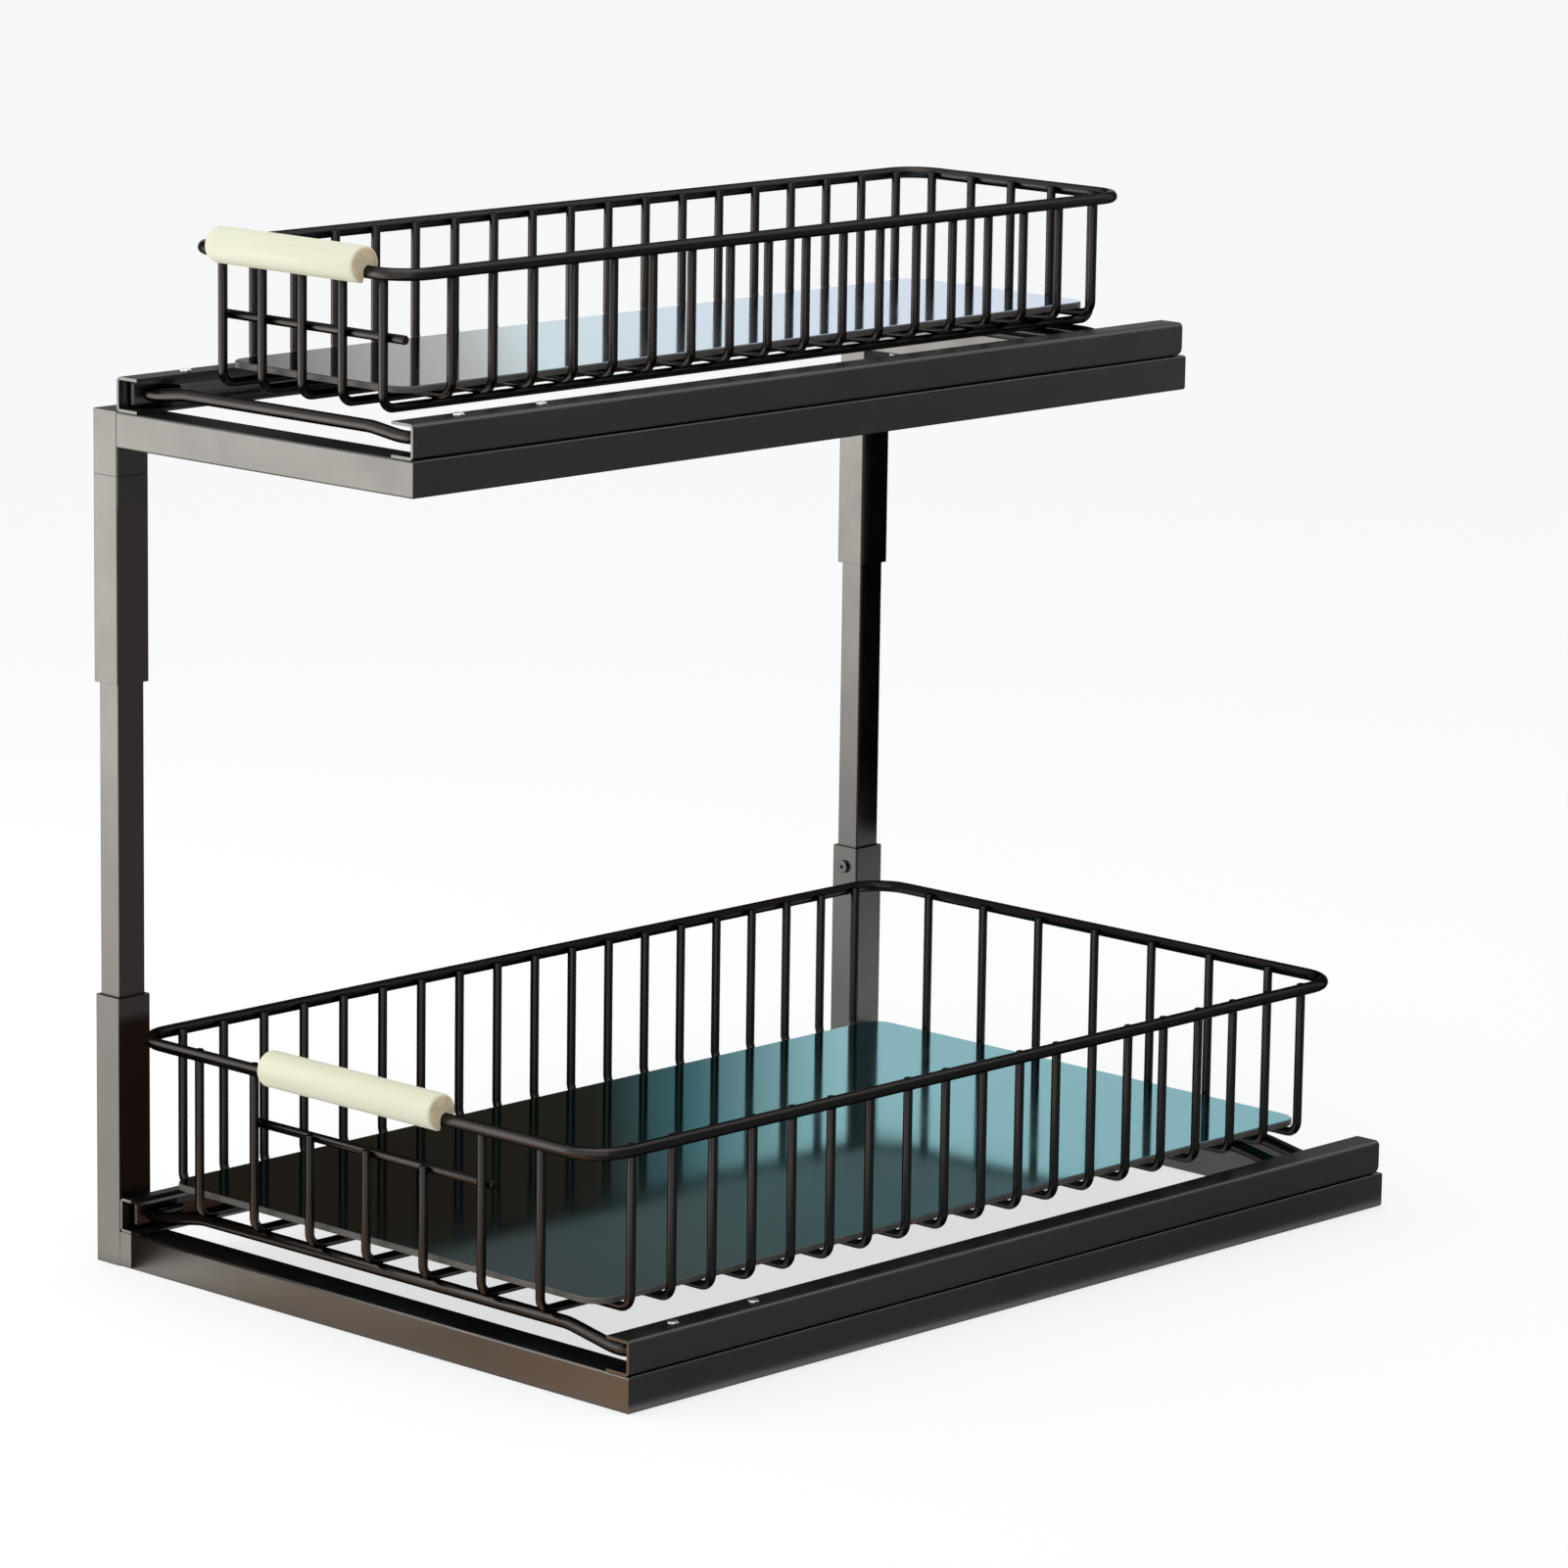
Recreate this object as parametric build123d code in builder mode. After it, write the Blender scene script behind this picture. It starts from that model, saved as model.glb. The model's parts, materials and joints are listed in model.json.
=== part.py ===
from build123d import *
import os

# Pull-out cabinet basket: two wire baskets that slide forward on an open steel frame.
# Millimetres, +Z up. X runs across the frame and the baskets pull out towards -Y.
# The origin is the middle of the footprint, on the surface that the frame stands on.

# ---- Frame, outside sizes ----
frame_depth = 430.0
lower_width = 292.0
upper_width = 177.0
upper_level = 320.0  # floor to the underside of the upper tubes

# ---- Steel tube of the frame ----
tube_height = 14.0  # height of a level tube and width of a post
tube_width = 16.0  # width of a level tube and depth of a post
tube_wall = 1.2
tube_edge = 1.0

# ---- Telescoping posts on the left ----
socket_height = 106.0
sleeve_length = 80.5
corner_drop = 11.0  # how far the upper corners hang below the upper tubes
post_wall = 1.2
post_clearance = 0.25
post_tuck_low = 32.0  # length of post inside a socket at rest
post_tuck_high = 16.0  # length of post inside an upper corner
post_edge = 0.8

# ---- Locking screws of the posts ----
lock_drop = 8.5  # below the top of a socket
lock_head = 5.4
lock_head_height = 1.6
lock_shank = 3.0
lock_hex = 2.0  # across the points of the key recess
lock_hex_depth = 0.9
lock_gap = 0.05

# ---- Slide channels ----
channel_height = 13.5
channel_flange = 11.5
channel_sheet = 1.2
channel_bend = 2.0
channel_short = 2.5  # the channels end this far before the back of the frame
channel_end_round = 3.5

# ---- Slide parts inside the channels ----
slide_clearance = 0.3
lip_setback = 1.0  # nylon parts end this far inside the channel's mouth
liner = 1.0
guide_length = 60.0
guide_start = 20.0  # behind the front of the frame
runner_thickness = 1.6
runner_start = 5.0
shoe_length = 17.5
shoe_clearance = 0.25
stop_length = 6.0
stop_setback = 4.0  # in from the rear end of the channel

# ---- Rivets of the guides ----
rivet_spacing = 42.0
rivet_inset = 6.5  # from the outer face of the channel's web
rivet_head = 4.6
rivet_head_height = 0.9
rivet_shank = 2.6
hole_clearance = 0.1

# ---- Wire ----
rim_wire = 4.8
basket_wire = 3.6
carrier_wire = 5.0
wire_bend = 5.0
wire_tip_rise = 1.2  # tips of the uprights above the middle of the rim wire
wire_tip_round = 0.7
weld_gap = 0.02

# ---- Carrying wires under the baskets: one in front and a closed pair at the back ----
front_carrier_start = 8.0  # front wire, behind the front of the frame
carrier_leg = 17.0  # ends of the front wire, turned back along the runners
rear_carrier_end = 27.0  # rear wire, before the back of the frame
carrier_spacing = 17.0  # between the wires of the rear pair
carrier_overlap = 7.0  # level stretch beyond the outermost long wire
carrier_foot = 4.0  # lower end of the slope, before the channel's mouth
carrier_slope_bend = 30.0
carrier_end_bend = 5.0

# ---- Lower basket ----
lower_rim_width = 252.6
lower_rim_overhang = 4.0  # rim wire ahead of the front of the frame
lower_rim_setback = 16.0  # rim wire ahead of the back of the frame
lower_rim_corner = 16.0
lower_rim_level = 93.6
lower_carrier_rise = 4.3  # carrying wire above the middle of the channel
lower_first_wire = 21.5  # first cross wire behind the front rim wire
lower_long_pitch = 31.0
lower_long_count = 7
lower_bar_level = 70.7
lower_bar_left = 66.0  # reach of the bar to the left of the middle
lower_bar_right = 65.0
lower_cut_count = 3  # long wires that end at the bar, in the middle

# ---- Upper basket ----
upper_rim_width = 117.0
upper_rim_overhang = -16.0
upper_rim_setback = 13.0
upper_rim_corner = 14.0
upper_rim_level = 77.7  # above the underside of the upper tubes
upper_carrier_rise = 1.9
upper_first_wire = 29.0
upper_long_pitch = 22.0
upper_long_count = 5
upper_bar_level = 53.0  # above the underside of the upper tubes
upper_bar_left = 46.0
upper_bar_right = 52.5
upper_cut_count = 0

cross_pitch = 21.0
last_wire_room = 14.5  # least room between the last cross wire and the rear rim wire

# ---- Mats ----
mat_thickness = 2.5
mat_corner = 9.0
mat_side_gap = 0.3  # beyond the inner end of the wire bends
mat_end_gap = 3.6  # to the upright wires at the front and the back

# ---- Grips ----
grip_diameter = 14.0
lower_grip_length = 94.0
upper_grip_length = 81.0
grip_forward = 1.5  # grip axis ahead of the rim wire
grip_rise = 2.75  # grip axis above the rim wire
grip_end_round = 1.4
grip_slot_clearance = 0.1
grip_notch_clearance = 0.3

# ---- Places worked out from the sizes ----
overhang = lower_rim_overhang + grip_forward + grip_diameter / 2
front_y = (overhang - frame_depth) / 2
back_y = front_y + frame_depth
left_x = -lower_width / 2
lower_right_x = left_x + lower_width
upper_right_x = left_x + upper_width
post_face_x = left_x + tube_height
upper_top = upper_level + tube_height
corner_bottom = upper_level - corner_drop
sleeve_bottom = corner_bottom - sleeve_length
bore_x = tube_height - 2 * tube_wall
bore_y = tube_width - 2 * tube_wall
post_x = bore_x - 2 * post_clearance
post_y = bore_y - 2 * post_clearance
post_axis_x = left_x + tube_height / 2
channel_length = frame_depth - channel_short
channel_middle = channel_height / 2
pocket_start = channel_sheet + liner
runner_start_u = pocket_start + slide_clearance
runner_end_u = runner_start_u + runner_thickness
pocket_end = runner_end_u + slide_clearance
nylon_end = channel_flange - lip_setback
runner_height = channel_height - 2 * (channel_sheet + liner + slide_clearance)
stop_end_y = front_y + channel_length - stop_setback
stop_start_y = stop_end_y - stop_length
rear_carrier_y = back_y - rear_carrier_end - carrier_spacing
carrier_bends = [carrier_end_bend, *4 * [carrier_slope_bend], carrier_end_bend]


def save(builder, name):
    """Label a finished piece and write it."""
    builder.part.label = name
    export_step(builder.part, f"parts/{name}.step")


def front_plane(y):
    """Upright plane across the frame: local x is X and local y is Z."""
    return Plane(origin=(0, y, 0), x_dir=(1, 0, 0), z_dir=(0, -1, 0))


def channel_plane(web_x, side, y, z):
    """Plane across a channel: local x runs from the web's outer face to the mouth."""
    return Plane(origin=(web_x, y, z), x_dir=(-side, 0, 0), z_dir=(0, side, 0))


def wire_start(path):
    """Plane square to the start of a wire's path."""
    return Plane(origin=path @ 0, z_dir=path % 0)


# ---- Frame pieces ----
def make_cross_tube(name, right_x, outer_y, inward, level):
    """Level tube across the frame, square at the post and mitred at the right."""
    with BuildPart() as tube:
        with BuildSketch(Plane.YZ.offset(post_face_x)):
            with Locations((outer_y + inward * tube_width / 2, level + tube_height / 2)):
                RectangleRounded(tube_width, tube_height, tube_edge)
                Rectangle(tube_width - 2 * tube_wall, tube_height - 2 * tube_wall, mode=Mode.SUBTRACT)
        extrude(amount=right_x - post_face_x)
        split(bisect_by=Plane(origin=(right_x, outer_y, 0), z_dir=(1, inward, 0)), keep=Keep.BOTTOM)
    save(tube, name)


def make_side_tube(name, right_x, level):
    """Level tube along the right side, mitred at both ends."""
    with BuildPart() as tube:
        with BuildSketch(front_plane(front_y)):
            with Locations((right_x - tube_width / 2, level + tube_height / 2)):
                RectangleRounded(tube_width, tube_height, tube_edge)
                Rectangle(tube_width - 2 * tube_wall, tube_height - 2 * tube_wall, mode=Mode.SUBTRACT)
        extrude(amount=-frame_depth)
        split(bisect_by=Plane(origin=(right_x, front_y, 0), z_dir=(1, 1, 0)), keep=Keep.TOP)
        split(bisect_by=Plane(origin=(right_x, back_y, 0), z_dir=(1, -1, 0)), keep=Keep.TOP)
    save(tube, name)


def make_outer_tube(name, axis_y, bottom, top, floor, roof, screw_side):
    """Upright outer tube on the left, closed where it has a floor or a roof."""
    with BuildPart() as tube:
        with BuildSketch(Plane.XY.offset(bottom)):
            with Locations((post_axis_x, axis_y)):
                RectangleRounded(tube_height, tube_width, tube_edge)
        extrude(amount=top - bottom)
        with BuildSketch(Plane.XY.offset(bottom + floor)):
            with Locations((post_axis_x, axis_y)):
                Rectangle(bore_x, bore_y)
        extrude(amount=top - bottom - floor - roof, mode=Mode.SUBTRACT)
        if screw_side:
            with BuildSketch(front_plane(axis_y)):
                with Locations((post_axis_x, top - lock_drop)):
                    Circle((lock_shank + hole_clearance) / 2)
            extrude(amount=-screw_side * tube_width, mode=Mode.SUBTRACT)
    save(tube, name)


def make_post(name, axis_y):
    """Inner tube of a post, from inside its socket up into its upper corner."""
    bottom = socket_height - post_tuck_low
    top = corner_bottom + post_tuck_high
    with BuildPart() as post:
        with BuildSketch(Plane.XY.offset(bottom)):
            with Locations((post_axis_x, axis_y)):
                RectangleRounded(post_x, post_y, post_edge)
                Rectangle(post_x - 2 * post_wall, post_y - 2 * post_wall, mode=Mode.SUBTRACT)
        extrude(amount=top - bottom)
    save(post, name)


def make_lock_screws(name, front_axis_y, rear_axis_y):
    """Screws that clamp the posts, on the faces of the sockets that look at each other."""
    face = tube_width / 2
    shank_tip = post_y / 2 + lock_gap
    with BuildPart() as screw:
        with BuildSketch(front_plane(face)):
            Circle(lock_head / 2)
        extrude(amount=-lock_head_height)
        fillet(screw.edges().group_by(Axis.Y)[-1], lock_head_height / 3)
        with BuildSketch(front_plane(face)):
            Circle(lock_shank / 2)
        extrude(amount=face - shank_tip)
        with BuildSketch(front_plane(face + lock_head_height)):
            RegularPolygon(lock_hex / 2, 6)
        extrude(amount=lock_hex_depth, mode=Mode.SUBTRACT)
    level = socket_height - lock_drop
    front_place = Location((post_axis_x, front_axis_y, level))
    rear_place = Location((post_axis_x, rear_axis_y, level), (0, 0, 180))
    with BuildPart() as screws:
        with Locations(front_place, rear_place):
            add(screw.part)
    save(screws, name)


# ---- Slide pieces; side is 1 for a web on the right and -1 for a web on the left ----
def rivet_places(web_x, side):
    """Middle of each rivet of one guide, seen from above."""
    middle_y = front_y + guide_start + guide_length / 2
    x = web_x - side * rivet_inset
    return [(x, middle_y - rivet_spacing / 2), (x, middle_y + rivet_spacing / 2)]


def make_channel(name, web_x, side, level):
    """C-section rail with its open side inwards, rounded at its lower rear corner."""
    with BuildPart() as channel:
        with BuildSketch(channel_plane(web_x, side, front_y, level)) as section:
            with Locations((channel_flange / 2, channel_height / 2)):
                Rectangle(channel_flange, channel_height)
            fillet(section.vertices().group_by(Axis.X)[0], channel_bend)
            with Locations((channel_sheet + channel_flange / 2, channel_height / 2)):
                Rectangle(channel_flange, channel_height - 2 * channel_sheet, mode=Mode.SUBTRACT)
        extrude(amount=side * channel_length)
        with BuildSketch(Plane.YZ.offset(web_x - channel_flange)) as profile:
            with Locations((front_y + channel_length / 2, level + channel_height / 2)):
                Rectangle(channel_length, channel_height)
            fillet(profile.vertices().group_by(Axis.X)[-1].sort_by(Axis.Y)[0], channel_end_round)
        extrude(amount=2 * channel_flange, mode=Mode.INTERSECT)
        with BuildSketch(Plane.XY.offset(level + channel_height)):
            with Locations(*rivet_places(web_x, side)):
                Circle((rivet_shank + hole_clearance) / 2)
        extrude(amount=-2 * channel_sheet, mode=Mode.SUBTRACT)
    save(channel, name)


def make_guide(name, web_x, side, level):
    """Nylon guide in the front of a channel: it holds the runner above, below and behind."""
    arm_underside = channel_middle + carrier_wire / 2 + slide_clearance
    roof = channel_height - channel_sheet
    with BuildPart() as guide:
        with BuildSketch(channel_plane(web_x, side, front_y + guide_start, level)):
            with BuildLine():
                Polyline(
                    (channel_sheet, channel_sheet),
                    (nylon_end, channel_sheet),
                    (nylon_end, channel_sheet + liner),
                    (pocket_start, channel_sheet + liner),
                    (pocket_start, roof - liner),
                    (pocket_end, roof - liner),
                    (pocket_end, arm_underside),
                    (nylon_end, arm_underside),
                    (nylon_end, roof),
                    (channel_sheet, roof),
                    close=True,
                )
            make_face()
        extrude(amount=side * guide_length)
        with BuildSketch(Plane.XY.offset(level + roof)):
            with Locations(*rivet_places(web_x, side)):
                Circle((rivet_shank + hole_clearance) / 2)
        extrude(amount=arm_underside - roof, mode=Mode.SUBTRACT)
    save(guide, name)


def make_rivets(name, right_x, level):
    """Four rivets, two through the top flange of each channel of a tier into its guide."""
    top = level + channel_height
    arm_underside = level + channel_middle + carrier_wire / 2 + slide_clearance
    places = rivet_places(post_face_x, -1) + rivet_places(right_x, 1)
    with BuildPart() as rivets:
        with BuildSketch(Plane.XY.offset(top)):
            with Locations(*places):
                Circle(rivet_head / 2)
        extrude(amount=rivet_head_height)
        fillet(rivets.edges().group_by(Axis.Z)[-1], rivet_head_height * 0.8)
        with BuildSketch(Plane.XY.offset(top)):
            with Locations(*places):
                Circle(rivet_shank / 2)
        extrude(amount=arm_underside - top)
    save(rivets, name)


def make_runner(name, web_x, side, level):
    """Flat steel bar that joins the ends of the carrying wires inside a channel."""
    start_y = front_y + runner_start
    with BuildPart() as runner:
        with BuildSketch(channel_plane(web_x, side, start_y, level)):
            with Locations(((runner_start_u + runner_end_u) / 2, channel_middle)):
                Rectangle(runner_thickness, runner_height)
        extrude(amount=side * (stop_start_y - slide_clearance - start_y))
    save(runner, name)


def make_shoe(name, web_x, side, level):
    """Nylon block on the runner, just ahead of the rear carrying wires."""
    end_y = rear_carrier_y - carrier_wire / 2 - slide_clearance
    width = nylon_end - runner_end_u
    height = channel_height - 2 * (channel_sheet + shoe_clearance)
    with BuildPart() as shoe:
        with BuildSketch(channel_plane(web_x, side, end_y, level)):
            with Locations((runner_end_u + width / 2, channel_middle)):
                Rectangle(width, height)
        extrude(amount=-side * shoe_length)
    save(shoe, name)


def make_stop(name, web_x, side, level):
    """Block in the rear end of a channel that the runner meets when the basket is home."""
    width = nylon_end - channel_sheet
    height = channel_height - 2 * channel_sheet
    with BuildPart() as stop:
        with BuildSketch(channel_plane(web_x, side, stop_start_y, level)):
            with Locations((channel_sheet + width / 2, channel_middle)):
                Rectangle(width, height)
        extrude(amount=side * stop_length)
    save(stop, name)


def carrier_run(y, right_x, level, middle_x, level_half, rise):
    """Corners of a carrying wire, from its left end in a channel to its right end."""
    low = level + channel_middle
    high = low + rise
    end_u = runner_end_u + weld_gap + carrier_wire / 2
    foot_u = channel_flange + carrier_foot
    return [
        Vector(post_face_x + end_u, y, low),
        Vector(post_face_x + foot_u, y, low),
        Vector(middle_x - level_half, y, high),
        Vector(middle_x + level_half, y, high),
        Vector(right_x - foot_u, y, low),
        Vector(right_x - end_u, y, low),
    ]


def make_front_carrier(name, run):
    """Single carrying wire, level under the basket, its ends turned back along the runners."""
    leg = Vector(0, carrier_leg, 0)
    points = [run[0] + leg, *run, run[-1] + leg]
    with BuildPart() as carrier:
        with BuildLine() as path:
            FilletPolyline(*points, radius=carrier_bends)
        with BuildSketch(wire_start(path.line)):
            Circle(carrier_wire / 2)
        sweep(path=path.line)
        fillet(carrier.faces().filter_by(GeomType.PLANE).edges(), wire_tip_round)
    save(carrier, name)


def make_rear_carrier(name, first_run, second_run):
    """Pair of carrying wires: one closed loop, level under the basket, its ends in the channels."""
    with BuildPart() as carrier:
        with BuildLine() as loop:
            FilletPolyline(*first_run, *second_run[::-1], radius=2 * carrier_bends, close=True)
        with BuildSketch(wire_start(loop.line)):
            Circle(carrier_wire / 2)
        sweep(path=loop.line)
    save(carrier, name)


# ---- Basket pieces ----
def bent_wire(points):
    """Round wire through the points, bent at its corners, with softened tips."""
    with BuildPart() as wire:
        with BuildLine() as path:
            FilletPolyline(*points, radius=wire_bend)
        with BuildSketch(wire_start(path.line)):
            Circle(basket_wire / 2)
        sweep(path=path.line)
        tips = wire.faces().filter_by(GeomType.PLANE)
        fillet(tips.edges(), wire_tip_round)
    return wire.part


def make_rim(name, middle_x, width, rim_front, rim_back, corner, level):
    """Closed rim wire."""
    half = width / 2
    with BuildPart() as rim:
        with BuildLine(Plane.XY.offset(level)) as loop:
            FilletPolyline(
                (middle_x - half, rim_front),
                (middle_x + half, rim_front),
                (middle_x + half, rim_back),
                (middle_x - half, rim_back),
                radius=corner,
                close=True,
            )
        with BuildSketch(wire_start(loop.line)):
            Circle(rim_wire / 2)
        sweep(path=loop.line)
    save(rim, name)


def make_cross_wires(name, middle_x, half, tip, floor, places):
    """U-shaped wires across the basket, one behind the other."""
    points = [
        (middle_x - half, 0, tip),
        (middle_x - half, 0, floor),
        (middle_x + half, 0, floor),
        (middle_x + half, 0, tip),
    ]
    wire = bent_wire(points)
    with BuildPart() as wires:
        with Locations(*[(0, y, 0) for y in places]):
            add(wire)
    save(wires, name)


def make_long_wires(name, front_wire_y, rear_wire_y, tip, floor, full_places, cut_places, cut_tip):
    """U-shaped wires along the basket; those in the grip opening end at its bar."""
    rear = [(0, rear_wire_y, floor), (0, rear_wire_y, tip)]
    full_wire = bent_wire([(0, front_wire_y, tip), (0, front_wire_y, floor)] + rear)
    cut_wire = bent_wire([(0, front_wire_y, cut_tip), (0, front_wire_y, floor)] + rear)
    with BuildPart() as wires:
        with Locations(*[(x, 0, 0) for x in full_places]):
            add(full_wire)
        if cut_places:
            with Locations(*[(x, 0, 0) for x in cut_places]):
                add(cut_wire)
    save(wires, name)


def make_bar(name, left, right, y, level):
    """Short straight wire behind the front uprights."""
    with BuildPart() as bar:
        with BuildSketch(Plane.YZ.offset(left)):
            with Locations((y, level)):
                Circle(basket_wire / 2)
        extrude(amount=right - left)
        fillet(bar.faces().filter_by(GeomType.PLANE).edges(), wire_tip_round)
    save(bar, name)


def make_mat(name, middle_x, width, mat_front, mat_back, bottom):
    """Thin mat with round corners on the cross wires."""
    with BuildPart() as mat:
        with BuildSketch(Plane.XY.offset(bottom)):
            with Locations((middle_x, (mat_front + mat_back) / 2)):
                RectangleRounded(width, mat_back - mat_front, mat_corner)
        extrude(amount=mat_thickness)
        fillet(mat.edges().group_by(Axis.Z)[-1], mat_thickness / 3)
    save(mat, name)


def make_grip(name, middle_x, length, rim_front, level, upright_places, upright_y, tip):
    """Round wooden grip, slotted from below for the rim wire and notched over the uprights."""
    axis_y = rim_front - grip_forward
    axis_z = level + grip_rise
    slot_radius = rim_wire / 2 + grip_slot_clearance
    notch_width = basket_wire + 2 * grip_notch_clearance
    notch_front = upright_y - basket_wire / 2 - grip_notch_clearance
    with BuildPart() as grip:
        with BuildSketch(Plane.YZ.offset(middle_x - length / 2)):
            with Locations((axis_y, axis_z)):
                Circle(grip_diameter / 2)
        extrude(amount=length)
        fillet(grip.faces().filter_by(GeomType.PLANE).edges(), grip_end_round)
        with BuildSketch(Plane.YZ.offset(middle_x - length / 2)):
            with Locations((rim_front, level)):
                Circle(slot_radius)
            with Locations((rim_front, level - grip_diameter / 2)):
                Rectangle(2 * slot_radius, grip_diameter)
        extrude(amount=length, mode=Mode.SUBTRACT)
        if upright_places:
            with BuildSketch(Plane.XY.offset(tip + grip_notch_clearance)):
                with Locations(*[(x, notch_front + grip_diameter / 2) for x in upright_places]):
                    Rectangle(notch_width, grip_diameter)
            extrude(amount=-2 * grip_diameter, mode=Mode.SUBTRACT)
    save(grip, name)


def make_frame(tier, right_x, level):
    """The U of level tubes of one tier."""
    make_cross_tube(f"{tier}_front_tube", right_x, front_y, 1, level)
    make_cross_tube(f"{tier}_back_tube", right_x, back_y, -1, level)
    make_side_tube(f"{tier}_side_tube", right_x, level)


def make_slides(tier, right_x, level):
    """Channels of one tier with the slide parts that each one holds."""
    for hand, web_x, side in (("left", post_face_x, -1), ("right", right_x, 1)):
        make_channel(f"{tier}_{hand}_channel", web_x, side, level)
        make_guide(f"{tier}_{hand}_guide", web_x, side, level)
        make_stop(f"{tier}_{hand}_back_stop", web_x, side, level)
        make_runner(f"{tier}_{hand}_runner", web_x, side, level)
        make_shoe(f"{tier}_{hand}_shoe", web_x, side, level)
    make_rivets(f"{tier}_guide_rivets", right_x, level)


def make_basket(
    tier,
    right_x,
    channel_level,
    rim_width,
    rim_overhang,
    rim_setback,
    rim_corner,
    rim_level,
    carrier_rise,
    first_wire,
    long_pitch,
    long_count,
    cut_count,
    bar_level,
    bar_left,
    bar_right,
    grip_length,
):
    """One welded wire basket on its carrying wires, with its mat and its grip."""
    middle_x = (post_face_x + right_x) / 2
    rim_front = front_y - rim_overhang
    rim_back = back_y - rim_setback
    weld_offset = rim_wire / 2 + weld_gap + basket_wire / 2
    tip = rim_level + wire_tip_rise
    carrier_z = channel_level + channel_middle + carrier_rise
    long_floor = carrier_z + carrier_wire / 2 + weld_gap + basket_wire / 2
    cross_floor = long_floor + basket_wire + weld_gap
    front_wire_y = rim_front + weld_offset
    rear_wire_y = rim_back - weld_offset
    cross_half = rim_width / 2 - weld_offset
    bar_y = front_wire_y + basket_wire + weld_gap
    mat_bottom = cross_floor + basket_wire / 2 + weld_gap
    mat_half = cross_half - wire_bend - mat_side_gap
    mat_inset = basket_wire / 2 + mat_end_gap

    wire_run = rim_back - rim_front - first_wire - last_wire_room
    cross_count = int(wire_run // cross_pitch) + 1
    cross_places = [rim_front + first_wire + k * cross_pitch for k in range(cross_count)]
    reach = (long_count - 1) / 2
    long_places = [middle_x + (k - reach) * long_pitch for k in range(long_count)]
    cut_first = (long_count - cut_count) // 2
    cut_places = long_places[cut_first : cut_first + cut_count]
    full_places = [x for x in long_places if x not in cut_places]
    notch_places = [x for x in full_places if abs(x - middle_x) < (grip_length + basket_wire) / 2]

    make_rim(f"{tier}_basket_rim", middle_x, rim_width, rim_front, rim_back, rim_corner, rim_level)
    make_cross_wires(f"{tier}_basket_cross_wires", middle_x, cross_half, tip, cross_floor, cross_places)
    make_long_wires(
        f"{tier}_basket_long_wires",
        front_wire_y,
        rear_wire_y,
        tip,
        long_floor,
        full_places,
        cut_places,
        bar_level + basket_wire / 2,
    )
    make_bar(f"{tier}_basket_bar", middle_x - bar_left, middle_x + bar_right, bar_y, bar_level)
    make_mat(
        f"{tier}_basket_mat",
        middle_x,
        2 * mat_half,
        front_wire_y + mat_inset,
        rear_wire_y - mat_inset,
        mat_bottom,
    )
    make_grip(f"{tier}_grip", middle_x, grip_length, rim_front, rim_level, notch_places, front_wire_y, tip)
    level_half = reach * long_pitch + carrier_overlap
    front_run, first_run, second_run = [
        carrier_run(y, right_x, channel_level, middle_x, level_half, carrier_rise)
        for y in (front_y + front_carrier_start, rear_carrier_y, rear_carrier_y + carrier_spacing)
    ]
    make_front_carrier(f"{tier}_front_carrier", front_run)
    make_rear_carrier(f"{tier}_rear_carrier", first_run, second_run)


os.makedirs("parts", exist_ok=True)

front_axis_y = front_y + tube_width / 2
rear_axis_y = back_y - tube_width / 2

make_frame("lower", lower_right_x, 0)
make_frame("upper", upper_right_x, upper_level)
for end, axis_y, facing in (("front", front_axis_y, 1), ("rear", rear_axis_y, -1)):
    make_outer_tube(f"{end}_socket", axis_y, 0, socket_height, tube_wall, 0, facing)
    make_outer_tube(f"{end}_sleeve", axis_y, sleeve_bottom, corner_bottom, 0, 0, 0)
    make_outer_tube(f"upper_{end}_corner", axis_y, corner_bottom, upper_top, 0, tube_wall, 0)
    make_post(f"{end}_post", axis_y)
make_lock_screws("height_lock_screws", front_axis_y, rear_axis_y)

make_slides("lower", lower_right_x, tube_height)
make_slides("upper", upper_right_x, upper_top)

make_basket(
    "lower",
    lower_right_x,
    tube_height,
    lower_rim_width,
    lower_rim_overhang,
    lower_rim_setback,
    lower_rim_corner,
    lower_rim_level,
    lower_carrier_rise,
    lower_first_wire,
    lower_long_pitch,
    lower_long_count,
    lower_cut_count,
    lower_bar_level,
    lower_bar_left,
    lower_bar_right,
    lower_grip_length,
)
make_basket(
    "upper",
    upper_right_x,
    upper_top,
    upper_rim_width,
    upper_rim_overhang,
    upper_rim_setback,
    upper_rim_corner,
    upper_level + upper_rim_level,
    upper_carrier_rise,
    upper_first_wire,
    upper_long_pitch,
    upper_long_count,
    upper_cut_count,
    upper_level + upper_bar_level,
    upper_bar_left,
    upper_bar_right,
    upper_grip_length,
)
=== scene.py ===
"""Looks of a pull-out cabinet basket: coated frame, slides, wirework, mats, grips and studio."""

import json
import math

import bmesh
import bpy
from bpy.props import FloatProperty, FloatVectorProperty, IntProperty, PointerProperty
from mathutils import Matrix, Vector

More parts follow.
